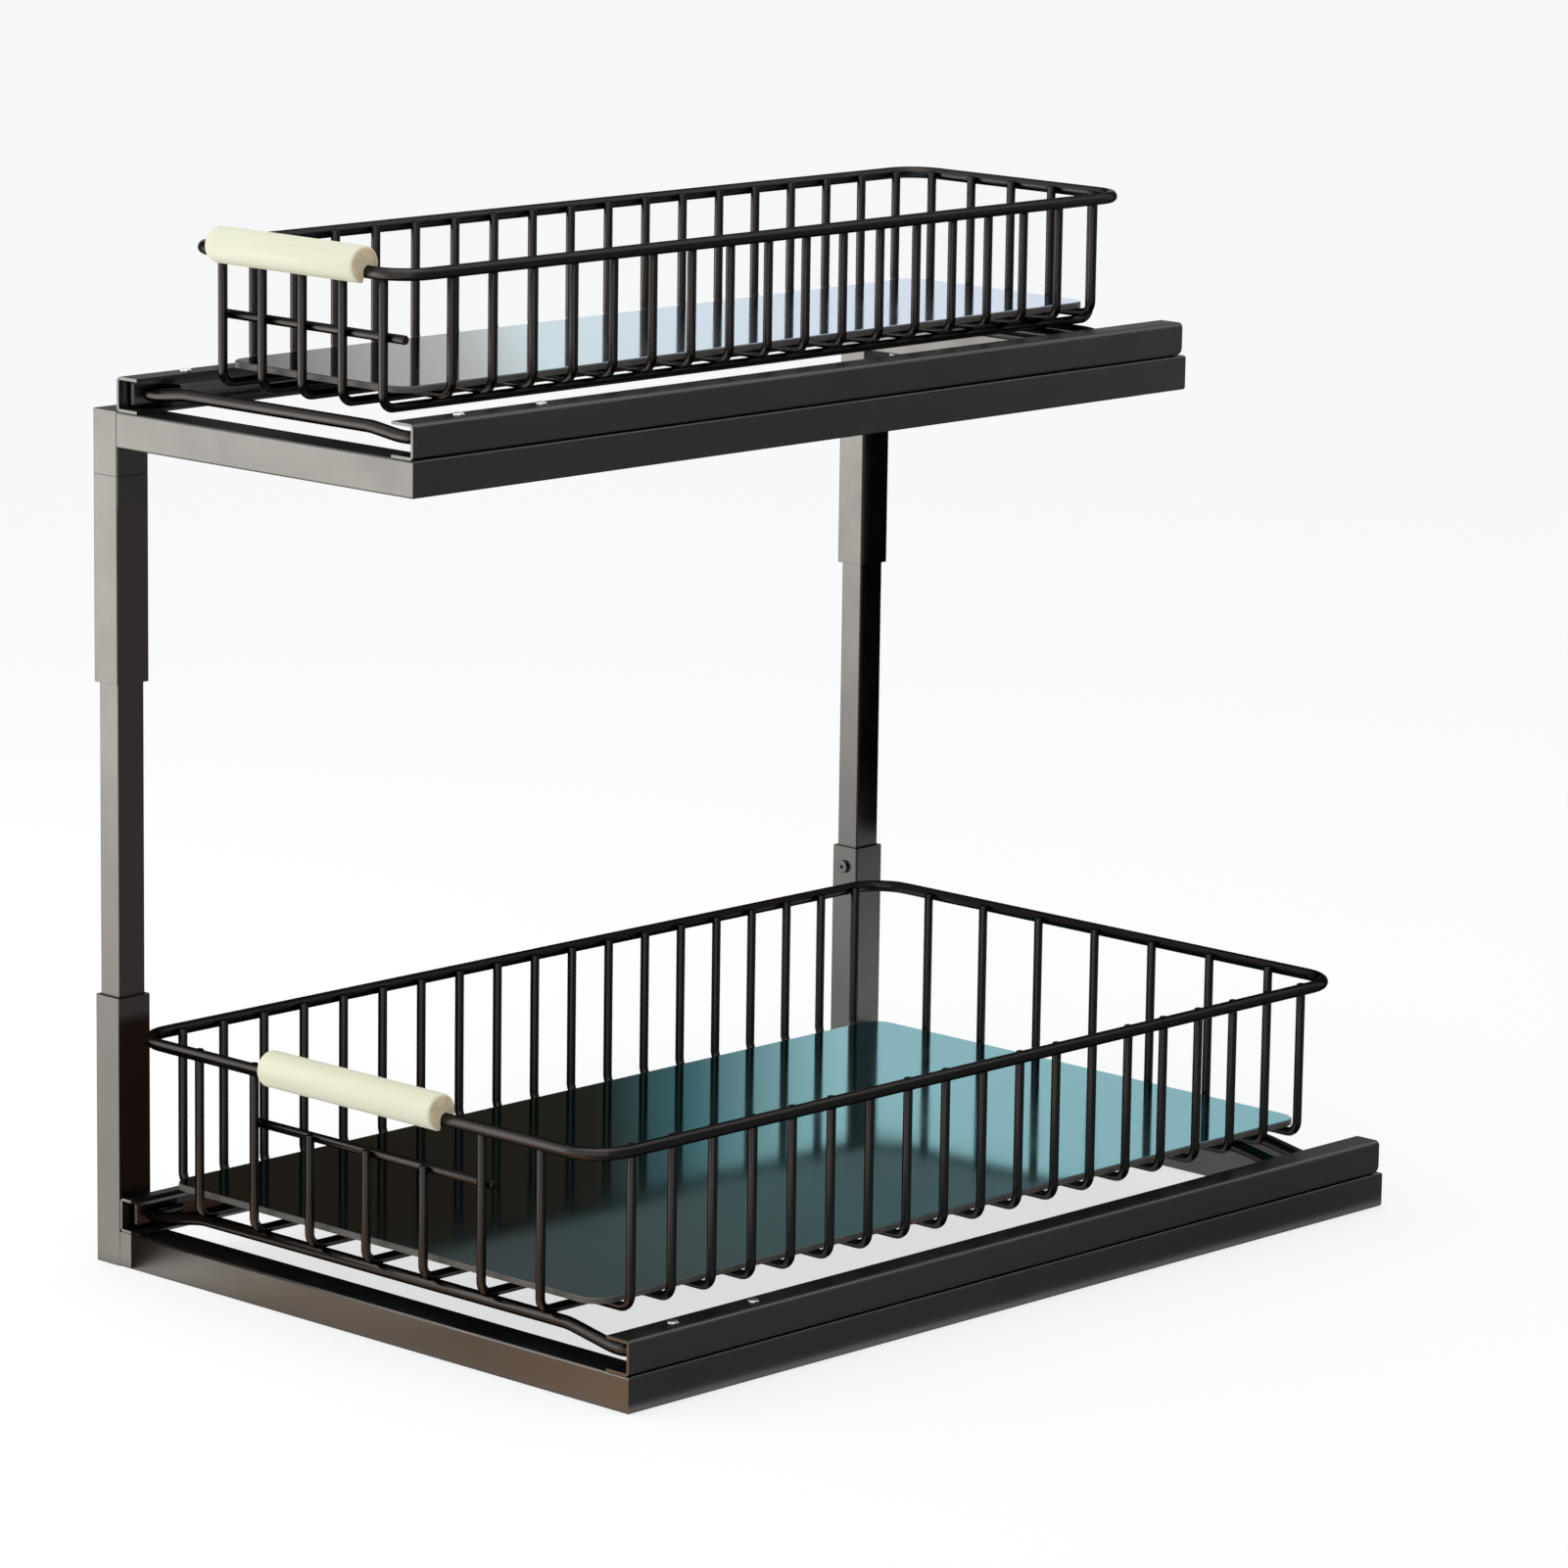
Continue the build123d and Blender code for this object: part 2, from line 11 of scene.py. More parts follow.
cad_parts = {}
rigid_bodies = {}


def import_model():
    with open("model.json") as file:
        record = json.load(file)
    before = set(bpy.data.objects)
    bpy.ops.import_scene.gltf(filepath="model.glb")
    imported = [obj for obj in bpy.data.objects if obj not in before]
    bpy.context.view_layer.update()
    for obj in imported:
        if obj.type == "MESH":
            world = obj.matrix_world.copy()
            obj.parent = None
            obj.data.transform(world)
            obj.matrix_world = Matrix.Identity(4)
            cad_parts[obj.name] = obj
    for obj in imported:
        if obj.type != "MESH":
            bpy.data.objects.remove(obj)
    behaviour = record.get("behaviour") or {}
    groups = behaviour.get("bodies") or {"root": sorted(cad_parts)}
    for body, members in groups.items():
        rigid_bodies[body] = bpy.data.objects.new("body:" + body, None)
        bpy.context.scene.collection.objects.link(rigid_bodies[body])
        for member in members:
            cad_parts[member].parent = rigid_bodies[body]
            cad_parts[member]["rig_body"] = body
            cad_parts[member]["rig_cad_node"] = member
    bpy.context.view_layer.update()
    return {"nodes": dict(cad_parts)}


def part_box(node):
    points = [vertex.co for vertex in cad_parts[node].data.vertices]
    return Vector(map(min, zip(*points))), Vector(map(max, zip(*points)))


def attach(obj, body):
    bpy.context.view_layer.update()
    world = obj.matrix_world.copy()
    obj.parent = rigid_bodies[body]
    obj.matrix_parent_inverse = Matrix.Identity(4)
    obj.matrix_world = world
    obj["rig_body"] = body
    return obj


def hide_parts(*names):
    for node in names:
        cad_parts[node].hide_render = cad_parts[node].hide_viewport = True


bl_info = {
    "name": "Pull-out cabinet basket",
    "version": (1, 0, 0),
    "blender": (4, 5, 0),
    "location": "View3D > Sidebar > Basket",
    "description": "Dresses the sliding wire baskets and their frame, piece by piece",
    "category": "Object",
}

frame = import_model()

TIERS = ("lower", "upper")
HANDS = ("left", "right")
DRAWER = {"lower": "lower_drawer", "upper": "upper_drawer"}
FRAME_BODY = {"lower": "base", "upper": "upper_tier"}
QUARTER = math.pi / 2
SMOOTH_ANGLE = math.radians(35)  # faces that meet at less than this are shaded as one
MERGE_DISTANCE = 1e-6  # points closer than this are joined
HAIR = 1e-5  # places closer than this count as the same


def wire_of(node):
    """Diameter of a straight or flat-lying wire, read from its node's height."""
    low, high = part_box(node)
    return high.z - low.z


# ---- Sizes and colours that a user would change ----
class BasketWireSizes(bpy.types.PropertyGroup):
    """Sizes of the bent and welded wire."""

    basket_wire: FloatProperty(
        name="Basket wire",
        description="Diameter of the wire of the walls and floors",
        default=wire_of("lower_basket_bar"),
        unit="LENGTH",
    )
    rim_wire: FloatProperty(
        name="Rim wire",
        description="Diameter of the closed rim wires",
        default=wire_of("lower_basket_rim"),
        unit="LENGTH",
    )
    carrier_wire: FloatProperty(
        name="Carrying wire",
        description="Diameter of the wires that carry the baskets",
        default=0.005,
        unit="LENGTH",
    )
    bend: FloatProperty(
        name="Bend",
        description="Radius of the bends of the basket wires, at the wire's middle",
        default=0.005,
        unit="LENGTH",
    )
    lower_rim_corner: FloatProperty(
        name="Lower rim corner",
        description="Corner radius of the lower rim, at the wire's middle",
        default=0.016,
        unit="LENGTH",
    )
    upper_rim_corner: FloatProperty(
        name="Upper rim corner",
        description="Corner radius of the upper rim, at the wire's middle",
        default=0.014,
        unit="LENGTH",
    )
    cross_pitch: FloatProperty(
        name="Cross wire pitch",
        description="Distance from one cross wire to the next",
        default=0.021,
        unit="LENGTH",
    )
    lower_long_pitch: FloatProperty(
        name="Lower long wire pitch",
        description="Distance from one long wire of the lower basket to the next",
        default=0.031,
        unit="LENGTH",
    )
    upper_long_pitch: FloatProperty(
        name="Upper long wire pitch",
        description="Distance from one long wire of the upper basket to the next",
        default=0.022,
        unit="LENGTH",
    )
    lower_cut_wires: IntProperty(
        name="Lower cut wires",
        description="Long wires of the lower basket that end at the bar under the grip",
        default=3,
    )
    upper_cut_wires: IntProperty(
        name="Upper cut wires",
        description="Long wires of the upper basket that end at the bar under the grip",
        default=0,
    )
    carrier_foot: FloatProperty(
        name="Carrier foot",
        description="Foot of the carrying wires' slope, before the mouth of the channel",
        default=0.004,
        unit="LENGTH",
    )
    carrier_overlap: FloatProperty(
        name="Carrier overlap",
        description="Level stretch of the carrying wires beyond the outermost long wire",
        default=0.007,
        unit="LENGTH",
    )
    carrier_slope_bend: FloatProperty(
        name="Carrier slope bend",
        description="Radius of the gentle bends of the carrying wires",
        default=0.030,
        unit="LENGTH",
    )
    tip_round: FloatProperty(
        name="Tip round",
        description="Rounding of the cut wire ends",
        default=0.0007,
        unit="LENGTH",
    )
    sides: IntProperty(
        name="Wire sides",
        description="Flats around a wire before smoothing",
        default=16,
    )
    steps: IntProperty(
        name="Bend steps",
        description="Steps in a quarter turn of a bend",
        default=7,
    )


class BasketFinishes(bpy.types.PropertyGroup):
    """Colours and gloss of the finishes."""

    frame_coat: FloatVectorProperty(
        name="Frame coat",
        description="Black nickel coat of the tubes and channels",
        subtype="COLOR",
        default=(0.114, 0.113, 0.111),
    )
    frame_coat_light: FloatVectorProperty(
        name="Frame coat, lighter",
        description="Lighter patches of the same coat",
        subtype="COLOR",
        default=(0.128, 0.127, 0.124),
    )
    frame_gloss: FloatProperty(
        name="Frame roughness",
        description="Roughness of the frame's coat",
        default=0.34,
    )
    wire_coat: FloatVectorProperty(
        name="Wire coat",
        description="Gloss black coat of the wires",
        subtype="COLOR",
        default=(0.046, 0.043, 0.042),
    )
    wire_gloss: FloatProperty(
        name="Wire roughness",
        description="Roughness of the wires' coat",
        default=0.28,
    )
    # Painted shade: the lower mat's colour is darkened towards the grip.
    lower_mat_front_painted_shade: FloatVectorProperty(
        name="Lower mat, front",
        description="Dark teal of the lower mat towards the grip",
        subtype="COLOR",
        default=(0.025, 0.110, 0.120),
    )
    lower_mat_back: FloatVectorProperty(
        name="Lower mat, back",
        description="Teal of the lower mat towards the back",
        subtype="COLOR",
        default=(0.030, 0.270, 0.300),
    )
    lower_mat_corner: FloatVectorProperty(
        name="Lower mat, rear corner",
        description="Bluer tint of the lower mat in its rear right corner",
        subtype="COLOR",
        default=(0.045, 0.250, 0.310),
    )
    lower_mat_sheen: FloatVectorProperty(
        name="Lower mat sheen",
        description="Tint of shallow reflections on the lower mat",
        subtype="COLOR",
        default=(0.880, 1.000, 1.000),
    )
    # Painted shade: the upper mat's colour is dark grey towards the grip.
    upper_mat_front_painted_shade: FloatVectorProperty(
        name="Upper mat, front",
        description="Dark grey of the upper mat towards the grip",
        subtype="COLOR",
        default=(0.040, 0.041, 0.043),
    )
    upper_mat_middle: FloatVectorProperty(
        name="Upper mat, middle",
        description="Blue of the upper mat behind its grey front",
        subtype="COLOR",
        default=(0.230, 0.460, 0.530),
    )
    upper_mat_back: FloatVectorProperty(
        name="Upper mat, back",
        description="Pale blue of the upper mat towards the back",
        subtype="COLOR",
        default=(0.330, 0.470, 0.680),
    )
    # Painted shade: reflections on the upper mat are dimmed at its front.
    upper_front_sheen_painted_shade: FloatVectorProperty(
        name="Upper mat sheen, front",
        description="Tint of shallow reflections at the front",
        subtype="COLOR",
        default=(0.290, 0.290, 0.295),
    )
    # Painted shade: reflections on the upper mat are half dimmed behind its front.
    upper_grey_sheen_painted_shade: FloatVectorProperty(
        name="Upper mat sheen, grey",
        description="Tint of shallow reflections behind the front",
        subtype="COLOR",
        default=(0.740, 0.735, 0.740),
    )
    upper_back_sheen: FloatVectorProperty(
        name="Upper mat sheen, back",
        description="Tint of shallow reflections at the back",
        subtype="COLOR",
        default=(1.000, 1.000, 1.000),
    )
    mat_edge: FloatVectorProperty(
        name="Mat, edge",
        description="Cut edge of the mats",
        subtype="COLOR",
        default=(0.085, 0.078, 0.070),
    )
    wood_light: FloatVectorProperty(
        name="Wood, light",
        description="Pale wood of the grips",
        subtype="COLOR",
        default=(0.88, 0.86, 0.68),
    )
    wood_dark: FloatVectorProperty(
        name="Wood, grain",
        description="Darker grain of the grips",
        subtype="COLOR",
        default=(0.84, 0.79, 0.56),
    )
    wood_end: FloatVectorProperty(
        name="Wood, end grain",
        description="Peach end grain of the grips",
        subtype="COLOR",
        default=(0.80, 0.64, 0.42),
    )
    bright_steel: FloatVectorProperty(
        name="Bright steel",
        description="Rivets and screws",
        subtype="COLOR",
        default=(0.78, 0.78, 0.80),
    )
    plain_steel: FloatVectorProperty(
        name="Plain steel",
        description="Runner bars",
        subtype="COLOR",
        default=(0.42, 0.42, 0.43),
    )
    nylon: FloatVectorProperty(
        name="Nylon",
        description="Guides, shoes and back stops",
        subtype="COLOR",
        default=(0.030, 0.030, 0.032),
    )


class BasketStudio(bpy.types.PropertyGroup):
    """Camera, lamps, world and floor."""

    camera_place: FloatVectorProperty(
        name="Camera place",
        description="Where the camera stands, in the part's frame",
        subtype="TRANSLATION",
        default=(1.8612, -1.93395, 0.7224),
    )
    camera_azimuth: FloatProperty(
        name="Camera azimuth",
        description="Turn of the camera about the vertical; 0 looks along +Y",
        default=math.radians(43.59),
        unit="ROTATION",
    )
    camera_elevation: FloatProperty(
        name="Camera elevation",
        description="How steeply the camera looks down",
        default=math.radians(11.38),
        unit="ROTATION",
    )
    camera_roll: FloatProperty(
        name="Camera roll",
        description="Tilt of the camera about its own line of sight",
        default=math.radians(0.84),
        unit="ROTATION",
    )
    camera_lens: FloatProperty(
        name="Camera lens",
        description="Focal length in millimetres on a 36 mm wide frame",
        default=161.0,
    )
    world_light: FloatProperty(
        name="World light",
        description="Strength of the even light from all round",
        default=0.68,
    )
    key_power: FloatProperty(
        name="Key lamp",
        description="Power of the softbox ahead of the frame, in watts",
        default=3.0,
    )
    top_power: FloatProperty(
        name="Top lamp",
        description="Power of the softbox overhead, in watts",
        default=7.0,
    )
    floor_tone: FloatProperty(
        name="Floor tone",
        description="Paleness of the floor",
        default=0.80,
    )
    floor_glow: FloatProperty(
        name="Floor glow",
        description="Even brightness of the floor as the camera sees it",
        default=0.69,
    )
    # Painted reflection: a glowing patch of floor that only reflections see.
    floor_gleam: FloatProperty(
        name="Floor gleam",
        description="Brightness of the floor ahead of the frame in reflections",
        default=2.5,
    )


# ---- Hand tools ----
def quiet():
    """Back to object mode with nothing selected."""
    if bpy.context.object and bpy.context.object.mode != "OBJECT":
        bpy.ops.object.mode_set(mode="OBJECT")
    bpy.ops.object.select_all(action="DESELECT")


def pick(*pieces):
    """Only these pieces selected, the first one active."""
    quiet()
    for piece in pieces:
        piece.select_set(True)
    bpy.context.view_layer.objects.active = pieces[0]


def settle(piece, name, material):
    """Name a piece, put its place into its mesh, smooth its faces and give it a finish."""
    pick(piece)
    bpy.ops.object.transform_apply(location=True, rotation=True, scale=True)
    bpy.ops.object.shade_smooth_by_angle(angle=SMOOTH_ANGLE)
    piece.name = name
    piece.data.name = name
    if not piece.data.materials:
        piece.data.materials.append(material)
    return piece


def mend_shell(piece):
    """Join doubled points and turn every face outwards."""
    pick(piece)
    bpy.ops.object.mode_set(mode="EDIT")
    bpy.ops.mesh.select_all(action="SELECT")
    bpy.ops.mesh.remove_doubles(threshold=MERGE_DISTANCE)
    bpy.ops.mesh.normals_make_consistent(inside=False)
    bpy.ops.object.mode_set(mode="OBJECT")


def select_faces(piece, test):
    """In edit mode, select only the faces that pass the test."""
    bpy.ops.mesh.select_all(action="DESELECT")
    bpy.ops.mesh.select_mode(type="FACE")
    mesh = bmesh.from_edit_mesh(piece.data)
    for face in mesh.faces:
        face.select_set(test(face))
    mesh.select_flush(True)
    bmesh.update_edit_mesh(piece.data)


def select_edges(piece, test):
    """In edit mode, select only the edges that pass the test."""
    bpy.ops.mesh.select_all(action="DESELECT")
    bpy.ops.mesh.select_mode(type="EDGE")
    mesh = bmesh.from_edit_mesh(piece.data)
    for edge in mesh.edges:
        edge.select_set(test(edge))
    mesh.select_flush(True)
    bmesh.update_edit_mesh(piece.data)


def apply_modifier(piece, kind, **values):
    """Add a modifier with these values and apply it."""
    pick(piece)
    bpy.ops.object.modifier_add(type=kind)
    modifier = piece.modifiers[-1]
    for key, value in values.items():
        setattr(modifier, key, value)
    bpy.ops.object.modifier_apply(modifier=modifier.name)


def flatten_faces(piece):
    """Let the large faces rule the shading, so that flat faces mirror flat."""
    apply_modifier(piece, "WEIGHTED_NORMAL", weight=100, keep_sharp=True)
    return piece


def copy_moved(piece, step):
    """Copy of a piece with its own mesh, moved by step."""
    pick(piece)
    bpy.ops.object.duplicate(linked=False)
    twin = bpy.context.object
    bpy.ops.transform.translate(value=step)
    bpy.ops.object.transform_apply(location=True, rotation=True, scale=True)
    return twin


def join(pieces):
    """One object of several."""
    pick(*pieces)
    if len(pieces) > 1:
        bpy.ops.object.join()
    return bpy.context.object


# ---- Bent wire ----
def start_wire(start, direction, diameter, filled):
    """Ring or disc across the start of a wire, selected in edit mode."""
    sizes = bpy.context.scene.basket_wire_sizes
    quiet()
    bpy.ops.mesh.primitive_circle_add(
        vertices=sizes.sides,
        radius=diameter / 2,
        fill_type="NGON" if filled else "NOTHING",
        location=start,
        rotation=direction.to_track_quat("Z", "Y").to_euler(),
    )
    bpy.ops.object.transform_apply(location=True, rotation=True, scale=True)
    wire = bpy.context.object
    bpy.ops.object.mode_set(mode="EDIT")
    bpy.ops.mesh.select_mode(type="FACE" if filled else "EDGE")
    bpy.ops.mesh.select_all(action="SELECT")
    return wire


def corner_turn(before, corner, after, radius):
    """Bend at a corner: where it starts and ends, its centre, its axis and its angle."""
    inward = (corner - before).normalized()
    outward = (after - corner).normalized()
    angle = inward.angle(outward)
    reach = radius * math.tan(angle / 2)
    side = (outward - inward * inward.dot(outward)).normalized()
    start = corner - inward * reach
    return start, corner + outward * reach, start + side * radius, inward.cross(outward), angle


def bend_wire(points, radii, diameter, closed=False):
    """Wire swept along straight runs and round bends, each run extruded and each bend spun."""
    sizes = bpy.context.scene.basket_wire_sizes
    points = [Vector(p) for p in points]
    count = len(points)
    corners = range(count) if closed else range(1, count - 1)
    turns = [
        corner_turn(points[i - 1], points[i], points[(i + 1) % count], radii[i])
        for i in corners
    ]
    begin = (points[-1] + points[0]) / 2 if closed else points[0]
    first_way = (turns[0][0] - begin).normalized()
    wire = start_wire(begin, first_way, diameter, filled=not closed)
    place = begin
    for start, end, centre, axis, angle in turns:
        bpy.ops.mesh.extrude_region_move(TRANSFORM_OT_translate={"value": start - place})
        steps = max(2, round(sizes.steps * angle / QUARTER))
        bpy.ops.mesh.spin(steps=steps, angle=-angle, center=centre, axis=axis)
        place = end
    finish = begin if closed else points[-1]
    bpy.ops.mesh.extrude_region_move(TRANSFORM_OT_translate={"value": finish - place})
    bpy.ops.object.mode_set(mode="OBJECT")
    mend_shell(wire)
    if not closed:
        round_tip(wire, points[0], sizes.tip_round)
        round_tip(wire, points[-1], sizes.tip_round)
    return wire


def round_tip(wire, place, amount):
    """Soften the cut end of a wire near a place; the end is the only face of many sides there."""
    pick(wire)
    bpy.ops.object.mode_set(mode="EDIT")
    select_faces(
        wire,
        lambda face: len(face.verts) > 4 and (face.calc_center_median() - place).length < amount,
    )
    bpy.ops.mesh.region_to_loop()
    bpy.ops.mesh.bevel(offset=amount, segments=2, profile=0.5, affect="EDGES")
    bpy.ops.object.mode_set(mode="OBJECT")


def row_places(low, high, count):
    """Places of a row of like wires, from the first to the last."""
    step = (high - low) / max(1, count - 1)
    return [low + step * k for k in range(count)]


def rim_piece(tier, material):
    """Closed rim wire of a basket."""
    sizes = bpy.context.scene.basket_wire_sizes
    low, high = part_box(f"{tier}_basket_rim")
    inset = Vector((1, 1, 1)) * sizes.rim_wire / 2
    low, high = low + inset, high - inset
    corner = sizes.lower_rim_corner if tier == "lower" else sizes.upper_rim_corner
    points = [
        (low.x, low.y, low.z),
        (high.x, low.y, low.z),
        (high.x, high.y, low.z),
        (low.x, high.y, low.z),
    ]
    rim = bend_wire(points, [corner] * 4, sizes.rim_wire, closed=True)
    return settle(rim, f"{tier}_rim_wire", material)


def cross_wires_piece(tier, material):
    """U-shaped wires across a basket."""
    sizes = bpy.context.scene.basket_wire_sizes
    low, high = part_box(f"{tier}_basket_cross_wires")
    radius = sizes.basket_wire / 2
    left, right, floor = low.x + radius, high.x - radius, low.z + radius
    first, last = low.y + radius, high.y - radius
    count = round((last - first) / sizes.cross_pitch) + 1
    points = [
        (left, first, high.z),
        (left, first, floor),
        (right, first, floor),
        (right, first, high.z),
    ]
    wire = bend_wire(points, [sizes.bend] * 4, sizes.basket_wire)
    apply_modifier(
        wire,
        "ARRAY",
        count=count,
        use_relative_offset=False,
        use_constant_offset=True,
        constant_offset_displace=(0, (last - first) / (count - 1), 0),
    )
    return settle(wire, f"{tier}_cross_wires", material)


def long_wires_piece(tier, material):
    """U-shaped wires along a basket; the middle ones may end at the bar under the grip."""
    sizes = bpy.context.scene.basket_wire_sizes
    low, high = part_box(f"{tier}_basket_long_wires")
    bar_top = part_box(f"{tier}_basket_bar")[1].z
    radius = sizes.basket_wire / 2
    front, back, floor = low.y + radius, high.y - radius, low.z + radius
    pitch = sizes.lower_long_pitch if tier == "lower" else sizes.upper_long_pitch
    cut = sizes.lower_cut_wires if tier == "lower" else sizes.upper_cut_wires
    first, last = low.x + radius, high.x - radius
    count = round((last - first) / pitch) + 1
    places = row_places(first, last, count)
    cut_from = (count - cut) // 2
    wires = []
    for tip, chosen in (
        (high.z, places[:cut_from] + places[cut_from + cut :]),
        (bar_top, places[cut_from : cut_from + cut]),
    ):
        if not chosen:
            continue
        points = [
            (chosen[0], front, tip),
            (chosen[0], front, floor),
            (chosen[0], back, floor),
            (chosen[0], back, high.z),
        ]
        pattern = bend_wire(points, [sizes.bend] * 4, sizes.basket_wire)
        wires.append(pattern)
        wires += [copy_moved(pattern, (x - chosen[0], 0, 0)) for x in chosen[1:]]
    return settle(join(wires), f"{tier}_long_wires", material)


def bar_piece(tier, material):
    """Short straight wire behind the front uprights."""
    sizes = bpy.context.scene.basket_wire_sizes
    low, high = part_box(f"{tier}_basket_bar")
    middle = (low + high) / 2
    start = Vector((low.x, middle.y, middle.z))
    end = Vector((high.x, middle.y, middle.z))
    bar = start_wire(start, end - start, sizes.basket_wire, filled=True)
    bpy.ops.mesh.extrude_region_move(TRANSFORM_OT_translate={"value": end - start})
    bpy.ops.object.mode_set(mode="OBJECT")
    mend_shell(bar)
    round_tip(bar, start, sizes.tip_round)
    round_tip(bar, end, sizes.tip_round)
    return settle(bar, f"{tier}_bar", material)


def carrier_piece(tier, end, material):
    """Carrying wires that dip into the channels: one wire in front, a closed pair at the back."""
    sizes = bpy.context.scene.basket_wire_sizes
    low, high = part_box(f"{tier}_{end}_carrier")
    inset = Vector((1, 1, 1)) * sizes.carrier_wire / 2
    low, high = low + inset, high - inset
    left_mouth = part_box(f"{tier}_left_channel")[1].x
    right_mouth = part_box(f"{tier}_right_channel")[0].x
    long_low, long_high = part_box(f"{tier}_basket_long_wires")
    reach = sizes.carrier_overlap - sizes.basket_wire / 2
    run = [
        (low.x, low.z),
        (left_mouth + sizes.carrier_foot, low.z),
        (long_low.x - reach, high.z),
        (long_high.x + reach, high.z),
        (right_mouth - sizes.carrier_foot, low.z),
        (high.x, low.z),
    ]
    radii = [sizes.bend] + [sizes.carrier_slope_bend] * 4 + [sizes.bend]
    near_run = [(x, low.y, z) for x, z in run]
    if end == "front":
        leg_end = high.y + inset.y
        points = [(low.x, leg_end, low.z), *near_run, (high.x, leg_end, low.z)]
        wire = bend_wire(points, [0, *radii, 0], sizes.carrier_wire)
        return settle(wire, f"{tier}_front_carrying_wire", material)
    far_run = [(x, high.y, z) for x, z in reversed(run)]
    loop = near_run + far_run
    turns = 2 * radii
    start = 3  # the loop is begun and closed midway along the near run's level stretch
    points = loop[start:] + loop[:start]
    wire = bend_wire(points, turns[start:] + turns[:start], sizes.carrier_wire, closed=True)
    return settle(wire, f"{tier}_rear_carrying_wires", material)


# ---- Finishes ----
def new_material(name):
    """Material with its main shader and a source of object coordinates."""
    material = bpy.data.materials.new(name)
    material.use_nodes = True
    nodes = material.node_tree.nodes
    shader = next(n for n in nodes if n.type == "BSDF_PRINCIPLED")
    coordinates = nodes.new("ShaderNodeTexCoord").outputs["Object"]
    return material, shader, coordinates


def stretched(material, coordinates, scale, offset=(0, 0, 0)):
    """Object coordinates scaled and moved."""
    mapping = material.node_tree.nodes.new("ShaderNodeMapping")
    mapping.inputs["Scale"].default_value = scale
    mapping.inputs["Location"].default_value = offset
    material.node_tree.links.new(coordinates, mapping.inputs["Vector"])
    return mapping.outputs["Vector"]


def cloud(material, coordinates, scale, detail=3.0, roughness=0.55):
    """Soft random pattern."""
    noise = material.node_tree.nodes.new("ShaderNodeTexNoise")
    noise.inputs["Scale"].default_value = scale
    noise.inputs["Detail"].default_value = detail
    noise.inputs["Roughness"].default_value = roughness
    material.node_tree.links.new(coordinates, noise.inputs["Vector"])
    return noise.outputs["Fac"]


def blend_colours(material, factor, stops):
    """Colours along a factor; stops are (place, colour)."""
    ramp = material.node_tree.nodes.new("ShaderNodeValToRGB")
    while len(ramp.color_ramp.elements) < len(stops):
        ramp.color_ramp.elements.new(0.5)
    for element, (place, colour) in zip(ramp.color_ramp.elements, stops):
        element.position = place
        element.color = (*colour, 1.0)
    material.node_tree.links.new(factor, ramp.inputs["Fac"])
    return ramp.outputs["Color"]


def spread(material, factor, low, high, from_low=0.3, from_high=0.7):
    """Factor mapped to a range of values."""
    ranged = material.node_tree.nodes.new("ShaderNodeMapRange")
    ranged.inputs["From Min"].default_value = from_low
    ranged.inputs["From Max"].default_value = from_high
    ranged.inputs["To Min"].default_value = low
    ranged.inputs["To Max"].default_value = high
    material.node_tree.links.new(factor, ranged.inputs["Value"])
    return ranged.outputs["Result"]


def axes(material, vector):
    """The X, Y and Z of a coordinate, by letter."""
    split = material.node_tree.nodes.new("ShaderNodeSeparateXYZ")
    material.node_tree.links.new(vector, split.inputs["Vector"])
    return split.outputs


def combine(owner, operation, first, second):
    """Two values put together; the owner is a material or the world."""
    node = owner.node_tree.nodes.new("ShaderNodeMath")
    node.operation = operation
    owner.node_tree.links.new(first, node.inputs[0])
    owner.node_tree.links.new(second, node.inputs[1])
    return node.outputs["Value"]


def mixed(owner, factor, first, second):
    """The first shader where the factor is 0 and the second where it is 1."""
    node = owner.node_tree.nodes.new("ShaderNodeMixShader")
    owner.node_tree.links.new(factor, node.inputs["Fac"])
    owner.node_tree.links.new(first, node.inputs[1])
    owner.node_tree.links.new(second, node.inputs[2])
    return node.outputs["Shader"]


def surface_output(material):
    """Where the material's last shader goes in."""
    nodes = material.node_tree.nodes
    return next(n for n in nodes if n.type == "OUTPUT_MATERIAL").inputs["Surface"]


def relief(material, shader, height, strength, depth):
    """Fine bumps on the shader's surface."""
    bump = material.node_tree.nodes.new("ShaderNodeBump")
    bump.inputs["Strength"].default_value = strength
    bump.inputs["Distance"].default_value = depth
    material.node_tree.links.new(height, bump.inputs["Height"])
    material.node_tree.links.new(bump.outputs["Normal"], shader.inputs["Normal"])


def coat_material(name, dark, light, roughness, peel_scale, peel):
    """Black nickel coat with faint patches and a fine orange peel, dark at grazing angles."""
    rubbed = 0.05  # rubbed patches are this much rougher or smoother
    grazing = 0.3  # tone of the shallowest reflections
    material, shader, coordinates = new_material(name)
    link = material.node_tree.links.new
    patches = cloud(material, coordinates, scale=9.0)
    tones = blend_colours(material, patches, [(0.35, dark), (0.65, light)])
    link(tones, shader.inputs["Base Color"])
    rub = cloud(material, coordinates, scale=45.0, detail=4.0)
    dullness = spread(material, rub, low=roughness - rubbed, high=roughness + rubbed)
    link(dullness, shader.inputs["Roughness"])
    orange_peel = cloud(material, coordinates, scale=peel_scale, detail=2.0)
    relief(material, shader, orange_peel, strength=peel, depth=0.0002)
    shader.inputs["Metallic"].default_value = 1.0
    shader.inputs["Specular Tint"].default_value = (grazing, grazing, grazing, 1.0)
    return material


